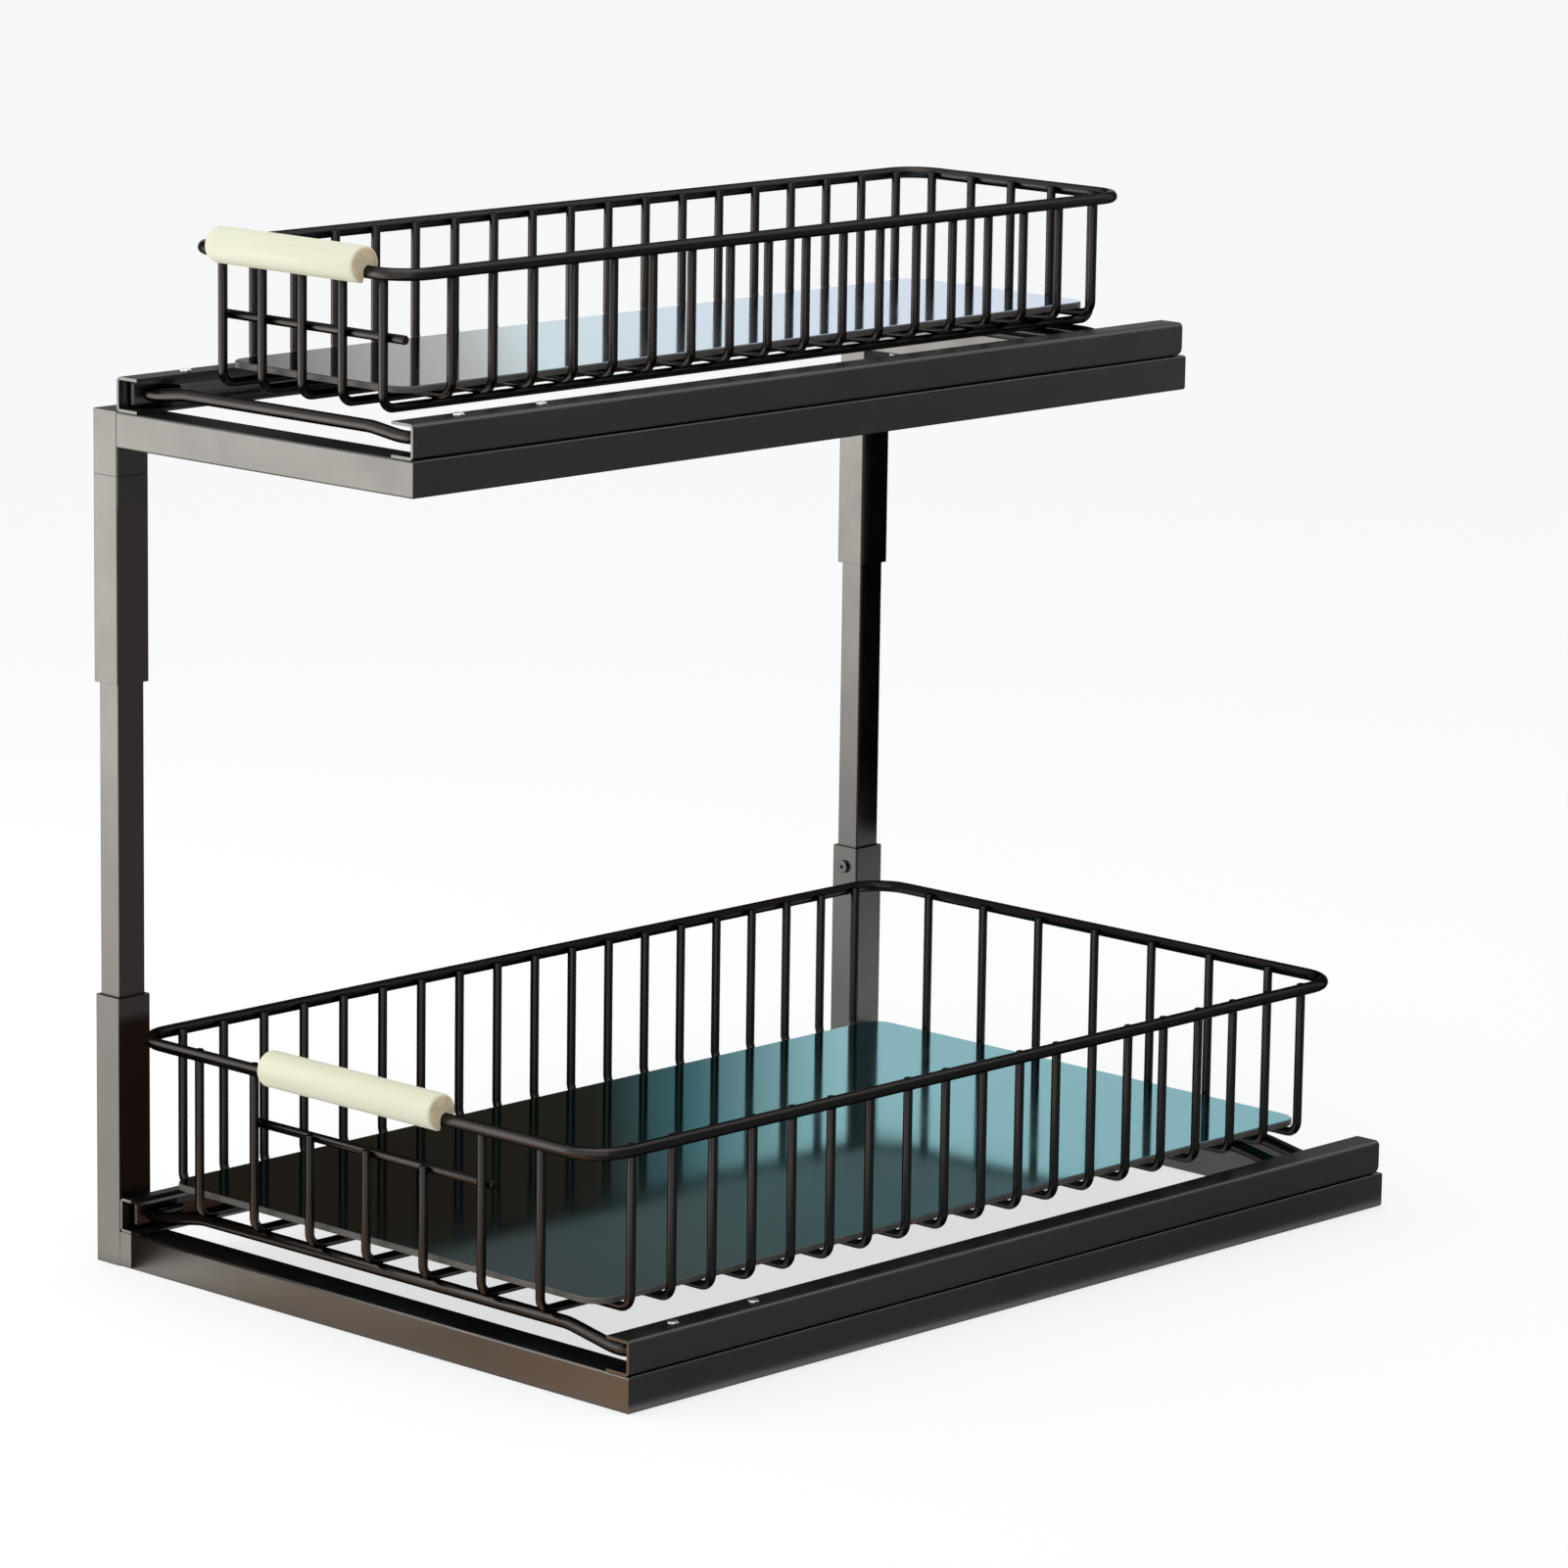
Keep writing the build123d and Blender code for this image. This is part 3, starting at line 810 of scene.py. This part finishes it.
def mat_material(tier, tones):
    """Mirror-like sheet whose tint runs from dark at the front to blue at the back; the darkening
    towards the front is painted shade, and on the upper mat its reflections are dimmed there too,
    also painted shade.
    """
    lean = 0.22  # how far the run of the tint, painted shade included, leans across the mat
    material, shader, coordinates = new_material(f"{tier}_mat_gloss")
    link = material.node_tree.links.new
    low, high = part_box(f"{tier}_basket_mat")
    size = high - low
    scale = (1 / size.x, 1 / size.y, 1)
    offset = (-low.x / size.x, -low.y / size.y, 0)
    place = axes(material, stretched(material, coordinates, scale, offset))
    along = material.node_tree.nodes.new("ShaderNodeMath")
    along.operation = "MULTIPLY_ADD"
    along.inputs[1].default_value = lean
    link(place["X"], along.inputs[0])
    link(place["Y"], along.inputs[2])
    # Base colours, and for the upper mat the reflection tints too, darken towards the front:
    # painted shade.
    if tier == "lower":
        body = [
            (0.25, tones.lower_mat_front_painted_shade),
            (0.60, tones.lower_mat_back),
            (1.00, tones.lower_mat_corner),
        ]
        sheen = [(0.25, tones.lower_mat_sheen), (0.60, tones.lower_mat_sheen)]
    else:
        body = [
            (0.31, tones.upper_mat_front_painted_shade),
            (0.42, tones.upper_mat_middle),
            (0.80, tones.upper_mat_back),
        ]
        sheen = [
            (0.02, tones.upper_front_sheen_painted_shade),
            (0.20, tones.upper_grey_sheen_painted_shade),
            (0.42, tones.upper_back_sheen),
        ]
    link(blend_colours(material, along.outputs["Value"], body), shader.inputs["Base Color"])
    link(blend_colours(material, along.outputs["Value"], sheen), shader.inputs["Specular Tint"])
    haze = cloud(material, coordinates, scale=14.0)
    link(spread(material, haze, low=0.06, high=0.11), shader.inputs["Roughness"])
    ripple = cloud(material, coordinates, scale=60.0, detail=1.0)
    relief(material, shader, ripple, strength=0.01, depth=0.0003)
    shader.inputs["Metallic"].default_value = 1.0
    return material


def wood_material(name, light, dark, grain_scale):
    """Pale fine-grained wood; the grain runs along X."""
    material, shader, coordinates = new_material(name)
    link = material.node_tree.links.new
    fibres = stretched(material, coordinates, grain_scale)
    grain = cloud(material, fibres, scale=1.0, detail=5.0, roughness=0.62)
    link(blend_colours(material, grain, [(0.30, dark), (0.58, light)]), shader.inputs["Base Color"])
    link(spread(material, grain, low=0.62, high=0.48), shader.inputs["Roughness"])
    relief(material, shader, grain, strength=0.10, depth=0.0002)
    shader.inputs["Specular IOR Level"].default_value = 0.35
    return material


def steel_material(name, colour, roughness):
    """Bare steel with faint drawn lines along Y."""
    material, shader, coordinates = new_material(name)
    link = material.node_tree.links.new
    drawn = stretched(material, coordinates, scale=(900.0, 30.0, 900.0))
    lines = cloud(material, drawn, scale=1.0)
    shade = tuple(0.7 * c for c in colour)
    tones = blend_colours(material, lines, [(0.3, shade), (0.7, tuple(colour))])
    link(tones, shader.inputs["Base Color"])
    dullness = spread(material, lines, low=roughness - 0.06, high=roughness + 0.08)
    link(dullness, shader.inputs["Roughness"])
    shader.inputs["Metallic"].default_value = 1.0
    return material


def moulded_material(name, colour):
    """Matt plastic with a fine moulded grain."""
    material, shader, coordinates = new_material(name)
    link = material.node_tree.links.new
    grain = cloud(material, coordinates, scale=700.0)
    lighter = tuple(1.5 * c for c in colour)
    tones = blend_colours(material, grain, [(0.3, tuple(colour)), (0.7, lighter)])
    link(tones, shader.inputs["Base Color"])
    link(spread(material, grain, low=0.48, high=0.60), shader.inputs["Roughness"])
    relief(material, shader, grain, strength=0.12, depth=0.0001)
    return material


def finish(name):
    """A finish by name, made the first time it is asked for."""
    if name in bpy.data.materials:
        return bpy.data.materials[name]
    tones = bpy.context.scene.basket_finishes
    if name == "frame_coat":
        dark, light = tones.frame_coat, tones.frame_coat_light
        return coat_material(name, dark, light, tones.frame_gloss, peel_scale=1300.0, peel=0.08)
    if name == "wire_coat":
        lighter = tuple(1.15 * c for c in tones.wire_coat)
        dark, gloss = tones.wire_coat, tones.wire_gloss
        return coat_material(name, dark, lighter, gloss, peel_scale=500.0, peel=0.04)
    if name.endswith("_mat_gloss"):
        return mat_material(name.split("_")[0], tones)
    if name == "pale_wood_grain":
        return wood_material(name, tones.wood_light, tones.wood_dark, (9.0, 160.0, 160.0))
    if name == "grip_end_grain":
        darker = tuple(0.72 * c for c in tones.wood_end)
        return wood_material(name, tones.wood_end, darker, (30.0, 220.0, 220.0))
    if name == "drawn_bright_steel":
        return steel_material(name, tones.bright_steel, roughness=0.22)
    if name == "drawn_plain_steel":
        return steel_material(name, tones.plain_steel, roughness=0.38)
    if name == "moulded_nylon":
        return moulded_material(name, tones.nylon)
    if name == "mat_edge":
        return moulded_material(name, tones.mat_edge)
    raise ValueError(f"no finish is called {name}")


def dress_node(node, material):
    """Give a carried-over node its finish."""
    piece = frame["nodes"][node]
    piece.data.materials.clear()
    piece.data.materials.append(material)


def placed(piece, body, node):
    """Tie a finished piece to its body and hide the node it stands for."""
    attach(piece, body)
    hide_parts(node)


def softened_copy(node, name, material, edge=0):
    """Merged copy of a node, with its sharp edges softened by this much."""
    flat = math.radians(0.5)
    sharp = math.radians(50)
    pick(frame["nodes"][node])
    bpy.ops.object.duplicate(linked=False)
    piece = bpy.context.object
    piece.parent = None
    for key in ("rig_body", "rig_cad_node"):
        if key in piece:
            del piece[key]
    piece.data.materials.clear()
    bpy.ops.mesh.customdata_custom_splitnormals_clear()
    mend_shell(piece)
    bpy.ops.object.mode_set(mode="EDIT")
    bpy.ops.mesh.select_all(action="SELECT")
    bpy.ops.mesh.dissolve_limited(angle_limit=flat)
    bpy.ops.object.mode_set(mode="OBJECT")
    if edge:
        apply_modifier(
            piece,
            "BEVEL",
            width=edge,
            segments=2,
            limit_method="ANGLE",
            angle_limit=sharp,
            use_clamp_overlap=True,
        )
    settle(piece, name, material)
    return flatten_faces(piece)


# ---- One operator for each group of like pieces ----
class BASKET_OT_frame_tubes(bpy.types.Operator):
    """Dress the tubes, sockets, posts and sleeves of the frame"""

    bl_idname = "basket.frame_tubes"
    bl_label = "Frame tubes"

    edge: FloatProperty(name="Edge", description="Softened edges", default=0.0002, unit="LENGTH")

    def execute(self, context):
        bodies = {}
        for tier in TIERS:
            for side in ("front", "side", "back"):
                bodies[f"{tier}_{side}_tube"] = FRAME_BODY[tier]
        for end in ("front", "rear"):
            bodies[f"{end}_socket"] = "base"
            bodies[f"{end}_post"] = "upper_tier"
            bodies[f"{end}_sleeve"] = "upper_tier"
            bodies[f"upper_{end}_corner"] = "upper_tier"
        for node, body in bodies.items():
            piece = softened_copy(node, f"{node}_coated", finish("frame_coat"), self.edge)
            placed(piece, body, node)
        return {"FINISHED"}


class BASKET_OT_ground_welds(bpy.types.Operator):
    """Fill the joints between the posts and the level tubes with welds ground flush"""

    bl_idname = "basket.ground_welds"
    bl_label = "Ground welds"

    width: FloatProperty(name="Width", description="Width of a weld", default=0.0015, unit="LENGTH")
    depth: FloatProperty(name="Depth", description="Depth of a weld", default=0.0011, unit="LENGTH")
    flush: FloatProperty(name="Flush", description="Step below a face", default=1e-5, unit="LENGTH")
    edge: FloatProperty(name="Edge", description="Rounded ends", default=0.0008, unit="LENGTH")

    def execute(self, context):
        for tier in TIERS:
            for end, side in (("front", -1), ("back", 1)):
                low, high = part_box(f"{tier}_{end}_tube")
                face_y = low.y if side < 0 else high.y
                middle_y = face_y - side * (self.depth / 2 + self.flush)
                middle_z = (low.z + high.z) / 2
                quiet()
                bpy.ops.mesh.primitive_cube_add(size=1, location=(low.x, middle_y, middle_z))
                weld = bpy.context.object
                weld.scale = (self.width, self.depth, high.z - low.z - 2 * self.flush)
                bpy.ops.object.transform_apply(location=True, rotation=True, scale=True)
                bpy.ops.object.mode_set(mode="EDIT")
                select_edges(
                    weld,
                    lambda edge: all(abs(v.co.y - face_y) < self.depth / 2 for v in edge.verts)
                    and abs(edge.verts[0].co.z - edge.verts[1].co.z) < HAIR,
                )
                bpy.ops.mesh.bevel(offset=self.edge, segments=4, affect="EDGES")
                bpy.ops.object.mode_set(mode="OBJECT")
                settle(weld, f"{tier}_{end}_ground_weld", finish("frame_coat"))
                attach(weld, FRAME_BODY[tier])
        return {"FINISHED"}


class BASKET_OT_channels(bpy.types.Operator):
    """Dress the slide channels"""

    bl_idname = "basket.channels"
    bl_label = "Slide channels"

    edge: FloatProperty(name="Edge", description="Softened edges", default=0.00015, unit="LENGTH")

    def execute(self, context):
        for tier in TIERS:
            for hand in HANDS:
                node = f"{tier}_{hand}_channel"
                piece = softened_copy(node, f"{node}_coated", finish("frame_coat"), self.edge)
                placed(piece, FRAME_BODY[tier], node)
        return {"FINISHED"}


class BASKET_OT_slide_parts(bpy.types.Operator):
    """Dress the guides, shoes, back stops and runners inside the channels"""

    bl_idname = "basket.slide_parts"
    bl_label = "Slide parts"

    def execute(self, context):
        for tier in TIERS:
            for hand in HANDS:
                for kind in ("guide", "shoe", "back_stop"):
                    dress_node(f"{tier}_{hand}_{kind}", finish("moulded_nylon"))
                dress_node(f"{tier}_{hand}_runner", finish("drawn_plain_steel"))
        return {"FINISHED"}


class BASKET_OT_fasteners(bpy.types.Operator):
    """Dress the rivets and the locking screws"""

    bl_idname = "basket.fasteners"
    bl_label = "Rivets and screws"

    def execute(self, context):
        for tier in TIERS:
            node = f"{tier}_guide_rivets"
            piece = softened_copy(node, f"{node}_bright", finish("drawn_bright_steel"))
            placed(piece, FRAME_BODY[tier], node)
        piece = softened_copy("height_lock_screws", "lock_screws", finish("frame_coat"))
        placed(piece, "base", "height_lock_screws")
        return {"FINISHED"}


class BASKET_OT_wirework(bpy.types.Operator):
    """Bend the rims and the wires of both baskets"""

    bl_idname = "basket.wirework"
    bl_label = "Basket wirework"

    def execute(self, context):
        coat = finish("wire_coat")
        for tier in TIERS:
            made = {
                f"{tier}_basket_rim": rim_piece(tier, coat),
                f"{tier}_basket_cross_wires": cross_wires_piece(tier, coat),
                f"{tier}_basket_long_wires": long_wires_piece(tier, coat),
                f"{tier}_basket_bar": bar_piece(tier, coat),
            }
            for node, piece in made.items():
                placed(piece, DRAWER[tier], node)
        return {"FINISHED"}


class BASKET_OT_carrying_wires(bpy.types.Operator):
    """Bend the carrying wires under both baskets"""

    bl_idname = "basket.carrying_wires"
    bl_label = "Carrying wires"

    def execute(self, context):
        for tier in TIERS:
            for end in ("front", "rear"):
                piece = carrier_piece(tier, end, finish("wire_coat"))
                placed(piece, DRAWER[tier], f"{tier}_{end}_carrier")
        return {"FINISHED"}


class BASKET_OT_mats(bpy.types.Operator):
    """Cut the glossy mats and round their corners and edges"""

    bl_idname = "basket.mats"
    bl_label = "Mats"

    corner: FloatProperty(name="Corner", description="Corner radius", default=0.009, unit="LENGTH")
    edge: FloatProperty(name="Edge", description="Rounded top edge", default=0.0008, unit="LENGTH")

    def execute(self, context):
        level = 0.95  # a face whose normal is steeper than this belongs to the gloss
        for tier in TIERS:
            low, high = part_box(f"{tier}_basket_mat")
            size = high - low
            middle = (low + high) / 2
            quiet()
            bpy.ops.mesh.primitive_plane_add(size=1, location=(middle.x, middle.y, low.z))
            mat = bpy.context.object
            mat.scale = (size.x, size.y, 1)
            bpy.ops.object.transform_apply(location=True, rotation=True, scale=True)
            bpy.ops.object.mode_set(mode="EDIT")
            bpy.ops.mesh.select_all(action="SELECT")
            bpy.ops.mesh.bevel(offset=self.corner, segments=12, affect="VERTICES")
            bpy.ops.mesh.select_all(action="SELECT")
            bpy.ops.mesh.extrude_region_move(TRANSFORM_OT_translate={"value": (0, 0, size.z)})
            bpy.ops.object.mode_set(mode="OBJECT")
            mend_shell(mat)
            bpy.ops.object.mode_set(mode="EDIT")
            select_edges(mat, lambda edge: all(v.co.z > high.z - HAIR for v in edge.verts))
            bpy.ops.mesh.bevel(offset=self.edge, segments=3, affect="EDGES")
            bpy.ops.object.mode_set(mode="OBJECT")
            settle(mat, f"{tier}_mat", finish(f"{tier}_mat_gloss"))
            flatten_faces(mat)
            mat.data.materials.append(finish("mat_edge"))
            for face in mat.data.polygons:
                face.material_index = 0 if abs(face.normal.z) > level else 1
            placed(mat, DRAWER[tier], f"{tier}_basket_mat")
        return {"FINISHED"}


class BASKET_OT_grips(bpy.types.Operator):
    """Give the wooden grips their grain, with end grain on their ends"""

    bl_idname = "basket.grips"
    bl_label = "Wooden grips"

    def execute(self, context):
        endwise = 0.8  # a face whose normal leans more than this along the grip shows end grain
        for tier in TIERS:
            node = f"{tier}_grip"
            piece = softened_copy(node, f"{tier}_wooden_grip", finish("pale_wood_grain"))
            piece.data.materials.append(finish("grip_end_grain"))
            for face in piece.data.polygons:
                face.material_index = 1 if abs(face.normal.x) > endwise else 0
            placed(piece, DRAWER[tier], node)
        return {"FINISHED"}


class BASKET_OT_studio(bpy.types.Operator):
    """Set the floor, the world, the lamps, the cards and the camera"""

    bl_idname = "basket.studio"
    bl_label = "Studio"

    def execute(self, context):
        studio = context.scene.basket_studio
        self.floor(studio)
        self.world(context.scene, studio)
        self.lamp(
            "key_softbox",
            place=(-0.66, -0.52, 0.30),
            target=(0.0, 0.16, 0.27),
            size=(0.95, 0.52),
            power=studio.key_power,
            tint=(1, 0.985, 0.955),
        )
        self.lamp(
            "top_softbox",
            place=(0.2, -0.3, 1.9),
            target=(0.0, 0.0, 0.2),
            size=(1.4, 1.4),
            power=studio.top_power,
            tint=(1, 1, 1),
        )
        self.right_flag()
        self.rim_card()
        self.side_card()
        self.post_card()
        self.camera(context.scene, studio)
        context.scene.view_settings.view_transform = "Standard"
        return {"FINISHED"}

    def floor(self, studio):
        """Wide sheet of pale paper under the frame."""
        quiet()
        bpy.ops.mesh.primitive_plane_add(size=14, location=(0, 0, 0))
        floor = bpy.context.object
        floor.name = "studio_floor"
        floor.data.materials.append(self.floor_paper(studio))

    def floor_paper(self, studio):
        """Paper that glows evenly to the camera, with a brown gleam for reflections in front; the
        gleam is a painted reflection, a patch that glows with no lamp and that only reflections
        see.
        """
        material, shader, coordinates = new_material("studio_floor_paper")
        nodes, link = material.node_tree.nodes, material.node_tree.links.new
        tone = studio.floor_tone
        paper = cloud(material, coordinates, scale=3.0)
        stops = [(0.4, (tone - 0.01,) * 3), (0.6, (tone,) * 3)]
        link(blend_colours(material, paper, stops), shader.inputs["Base Color"])
        shader.inputs["Roughness"].default_value = 0.9
        shader.inputs["Specular IOR Level"].default_value = 0.1
        glow = nodes.new("ShaderNodeEmission")
        glow.inputs["Strength"].default_value = studio.floor_glow
        shaded = nodes.new("ShaderNodeBsdfDiffuse")
        shaded.inputs["Color"].default_value = (0.36, 0.36, 0.36, 1)
        both = nodes.new("ShaderNodeAddShader")
        link(glow.outputs["Emission"], both.inputs[0])
        link(shaded.outputs["BSDF"], both.inputs[1])
        path = nodes.new("ShaderNodeLightPath").outputs
        seen = combine(material, "MAXIMUM", path["Is Camera Ray"], path["Is Glossy Ray"])
        plain = mixed(material, seen, shader.outputs["BSDF"], both.outputs["Shader"])
        spot = stretched(material, coordinates, scale=(1, 1, 1), offset=(0.5, 0.5, 0))
        place = axes(material, spot)
        # Painted reflection: the patch's tones, pale at the left and brown to the right, are seen
        # only in reflections, chiefly of the faces that look ahead.
        stops = [
            (0.375, (1.0, 0.94, 0.86)),
            (0.44, (0.50, 0.40, 0.31)),
            (0.52, (0.34, 0.24, 0.165)),
            (0.62, (0.48, 0.305, 0.187)),
        ]
        gleam = nodes.new("ShaderNodeEmission")
        gleam.inputs["Strength"].default_value = studio.floor_gleam
        link(blend_colours(material, place["X"], stops), gleam.inputs["Color"])
        ahead = spread(material, place["Y"], low=1.0, high=0.0, from_low=0.28, from_high=0.30)
        beside = spread(material, place["X"], low=1.0, high=0.0, from_low=0.68, from_high=0.74)
        patch = combine(material, "MULTIPLY", ahead, beside)
        pattern = combine(material, "MULTIPLY", patch, path["Is Glossy Ray"])
        link(mixed(material, pattern, plain, gleam.outputs["Emission"]), surface_output(material))
        return material

    def world(self, scene, studio):
        """White to the camera and in reflections, and an even, slightly cool light to the rest."""
        world = bpy.data.worlds.new("studio_world")
        world.use_nodes = True
        scene.world = world
        nodes = world.node_tree.nodes
        nodes.clear()
        path = nodes.new("ShaderNodeLightPath").outputs
        seen = combine(world, "MAXIMUM", path["Is Camera Ray"], path["Is Transmission Ray"])
        shown = combine(world, "MAXIMUM", seen, path["Is Glossy Ray"])
        light = nodes.new("ShaderNodeBackground")
        light.inputs["Color"].default_value = (0.93, 0.97, 1.0, 1)
        light.inputs["Strength"].default_value = studio.world_light
        white = nodes.new("ShaderNodeBackground")
        white.inputs["Color"].default_value = (1, 1, 1, 1)
        white.inputs["Strength"].default_value = 1
        both = mixed(world, shown, light.outputs["Background"], white.outputs["Background"])
        output = nodes.new("ShaderNodeOutputWorld")
        world.node_tree.links.new(both, output.inputs["Surface"])

    def card(self, place, size, turn=(0, 0, 0)):
        """Flat card of this size at a place."""
        quiet()
        bpy.ops.mesh.primitive_plane_add(size=1, location=place, rotation=turn)
        card = bpy.context.object
        card.scale = (*size, 1)
        bpy.ops.object.transform_apply(location=True, rotation=True, scale=True)
        return card

    def right_flag(self):
        """Grey card right of the frame: a strip on the floor that turns up at its far side. Only
        reflections see it: it paints a dark reflection into the faces that look right.
        """
        width, depth, height = 1.7, 0.55, 0.90
        above_floor = 0.001
        tone = 0.30
        card = self.card((0, depth / 2, above_floor), (width, depth))
        bpy.ops.object.mode_set(mode="EDIT")
        select_edges(card, lambda edge: all(v.co.y > depth - HAIR for v in edge.verts))
        bpy.ops.mesh.extrude_region_move(TRANSFORM_OT_translate={"value": (0, 0, height)})
        bpy.ops.object.mode_set(mode="OBJECT")
        card.rotation_euler.z = -QUARTER
        card.location = (0.15, 0.45, 0)
        # Material of the painted dark reflection.
        material, shader, coordinates = new_material("right_flag_painted_dark_reflection")
        weave = cloud(material, coordinates, scale=40.0)
        stops = [(0.3, (0.9 * tone,) * 3), (0.7, (tone,) * 3)]
        colour = blend_colours(material, weave, stops)
        material.node_tree.links.new(colour, shader.inputs["Base Color"])
        shader.inputs["Roughness"].default_value = 1.0
        shader.inputs["Specular IOR Level"].default_value = 0.0
        settle(card, "right_flag", material)
        self.reflections_only(card)

    def rim_card(self):
        """Grey card above the rim of the lower basket, along its left and its back. It glows with
        no lamp and only reflections see it: a painted grey reflection.
        """
        low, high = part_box("lower_basket_rim")
        gap, height, sliver = 0.004, 0.20, 0.001
        tone = (0.24, 0.205, 0.20)
        place = (low.x - gap, (low.y + high.y) / 2, high.z)
        card = self.card(place, (sliver, high.y - low.y + 2 * gap))
        across = (high.x - low.x + 2 * gap, 0, 0)
        bpy.ops.object.mode_set(mode="EDIT")
        select_edges(card, lambda edge: all(v.co.y > high.y for v in edge.verts))
        bpy.ops.mesh.extrude_region_move(TRANSFORM_OT_translate={"value": across})
        bpy.ops.mesh.select_all(action="SELECT")
        bpy.ops.mesh.extrude_region_move(TRANSFORM_OT_translate={"value": (0, 0, height)})
        bpy.ops.object.mode_set(mode="OBJECT")
        self.glowing_card(card, "rim_card", [(0.0, tone), (1.0, tone)])

    def side_card(self):
        """Brown card left of the lower basket, fading to white towards the back. It glows with no
        lamp and only reflections see it: a painted brown reflection.
        """
        low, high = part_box("lower_basket_rim")
        gap = 0.004
        front, back = -0.35, 0.195
        stops = [(0.545, (0.066, 0.036, 0.026)), (0.60, (0.20, 0.26, 0.28)), (0.69, (1, 1, 1))]
        place = (low.x - gap, (front + back) / 2, high.z / 2)
        card = self.card(place, (high.z, back - front), turn=(0, QUARTER, 0))
        self.glowing_card(card, "side_card", stops)

    def post_card(self):
        """Black card behind the bare stretch of the rear post. Only reflections see it: a painted
        dark reflection in the post's side.
        """
        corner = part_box("rear_post")[1]
        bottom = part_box("rear_socket")[1].z
        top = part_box("rear_sleeve")[1].z
        gap, width = 0.012, 0.13
        black = (0.004, 0.004, 0.006)
        place = (corner.x + width / 2, corner.y + gap, (bottom + top) / 2)
        card = self.card(place, (width, top - bottom), turn=(QUARTER, 0, 0))
        self.glowing_card(card, "post_card", [(0.0, black), (1.0, black)])

    def glowing_card(self, card, name, stops):
        """Give a card even tones along Y, over a metre about the frame. The tones glow with no lamp
        and only reflections see them: a painted reflection.
        """
        material, shader, coordinates = new_material(f"{name}_glow")
        nodes, link = material.node_tree.nodes, material.node_tree.links.new
        spot = stretched(material, coordinates, scale=(1, 1, 1), offset=(0, 0.5, 0))
        place = axes(material, spot)
        glow = nodes.new("ShaderNodeEmission")
        link(blend_colours(material, place["Y"], stops), glow.inputs["Color"])
        link(glow.outputs["Emission"], surface_output(material))
        nodes.remove(shader)
        settle(card, name, material)
        self.reflections_only(card)

    def reflections_only(self, card):
        """Show a card to reflections alone."""
        card.visible_camera = False
        card.visible_diffuse = False
        card.visible_shadow = False
        card.visible_transmission = False

    def lamp(self, name, place, target, size, power, tint):
        """Softbox that faces its target and stays out of the camera's sight."""
        quiet()
        bpy.ops.object.light_add(type="AREA", location=place)
        lamp = bpy.context.object
        lamp.name = name
        lamp.data.shape = "RECTANGLE"
        lamp.data.size, lamp.data.size_y = size
        lamp.data.energy = power
        lamp.data.color = tint
        aim = Vector(target) - Vector(place)
        lamp.rotation_euler = aim.to_track_quat("-Z", "Y").to_euler()
        lamp.visible_camera = False

    def camera(self, scene, studio):
        """Long lens, placed where the photo was taken from."""
        quiet()
        bpy.ops.object.camera_add(location=studio.camera_place)
        camera = bpy.context.object
        camera.name = "studio_camera"
        turn = (
            Matrix.Rotation(studio.camera_azimuth, 3, "Z")
            @ Matrix.Rotation(QUARTER - studio.camera_elevation, 3, "X")
            @ Matrix.Rotation(studio.camera_roll, 3, "Z")
        )
        camera.rotation_euler = turn.to_euler()
        camera.data.sensor_width = 36
        camera.data.lens = studio.camera_lens
        camera.data.clip_end = 50
        scene.camera = camera


OPERATORS = (
    BASKET_OT_frame_tubes,
    BASKET_OT_ground_welds,
    BASKET_OT_channels,
    BASKET_OT_slide_parts,
    BASKET_OT_fasteners,
    BASKET_OT_wirework,
    BASKET_OT_carrying_wires,
    BASKET_OT_mats,
    BASKET_OT_grips,
    BASKET_OT_studio,
)


class BASKET_PT_panel(bpy.types.Panel):
    """Lists the pieces of the basket in the sidebar."""

    bl_label = "Pull-out basket"
    bl_idname = "BASKET_PT_panel"
    bl_space_type = "VIEW_3D"
    bl_region_type = "UI"
    bl_category = "Basket"

    def draw(self, context):
        for operator in OPERATORS:
            self.layout.operator(operator.bl_idname)


GROUPS = (BasketWireSizes, BasketFinishes, BasketStudio)


def register():
    for item in GROUPS + OPERATORS + (BASKET_PT_panel,):
        bpy.utils.register_class(item)
    bpy.types.Scene.basket_wire_sizes = PointerProperty(type=BasketWireSizes)
    bpy.types.Scene.basket_finishes = PointerProperty(type=BasketFinishes)
    bpy.types.Scene.basket_studio = PointerProperty(type=BasketStudio)


def unregister():
    del bpy.types.Scene.basket_studio
    del bpy.types.Scene.basket_finishes
    del bpy.types.Scene.basket_wire_sizes
    for item in reversed(GROUPS + OPERATORS + (BASKET_PT_panel,)):
        bpy.utils.unregister_class(item)


def main():
    register()
    bpy.ops.basket.frame_tubes()
    bpy.ops.basket.ground_welds()
    bpy.ops.basket.channels()
    bpy.ops.basket.slide_parts()
    bpy.ops.basket.fasteners()
    bpy.ops.basket.wirework()
    bpy.ops.basket.carrying_wires()
    bpy.ops.basket.mats()
    bpy.ops.basket.grips()
    bpy.ops.basket.studio()
    bpy.context.view_layer.update()


if __name__ == "__main__":
    main()
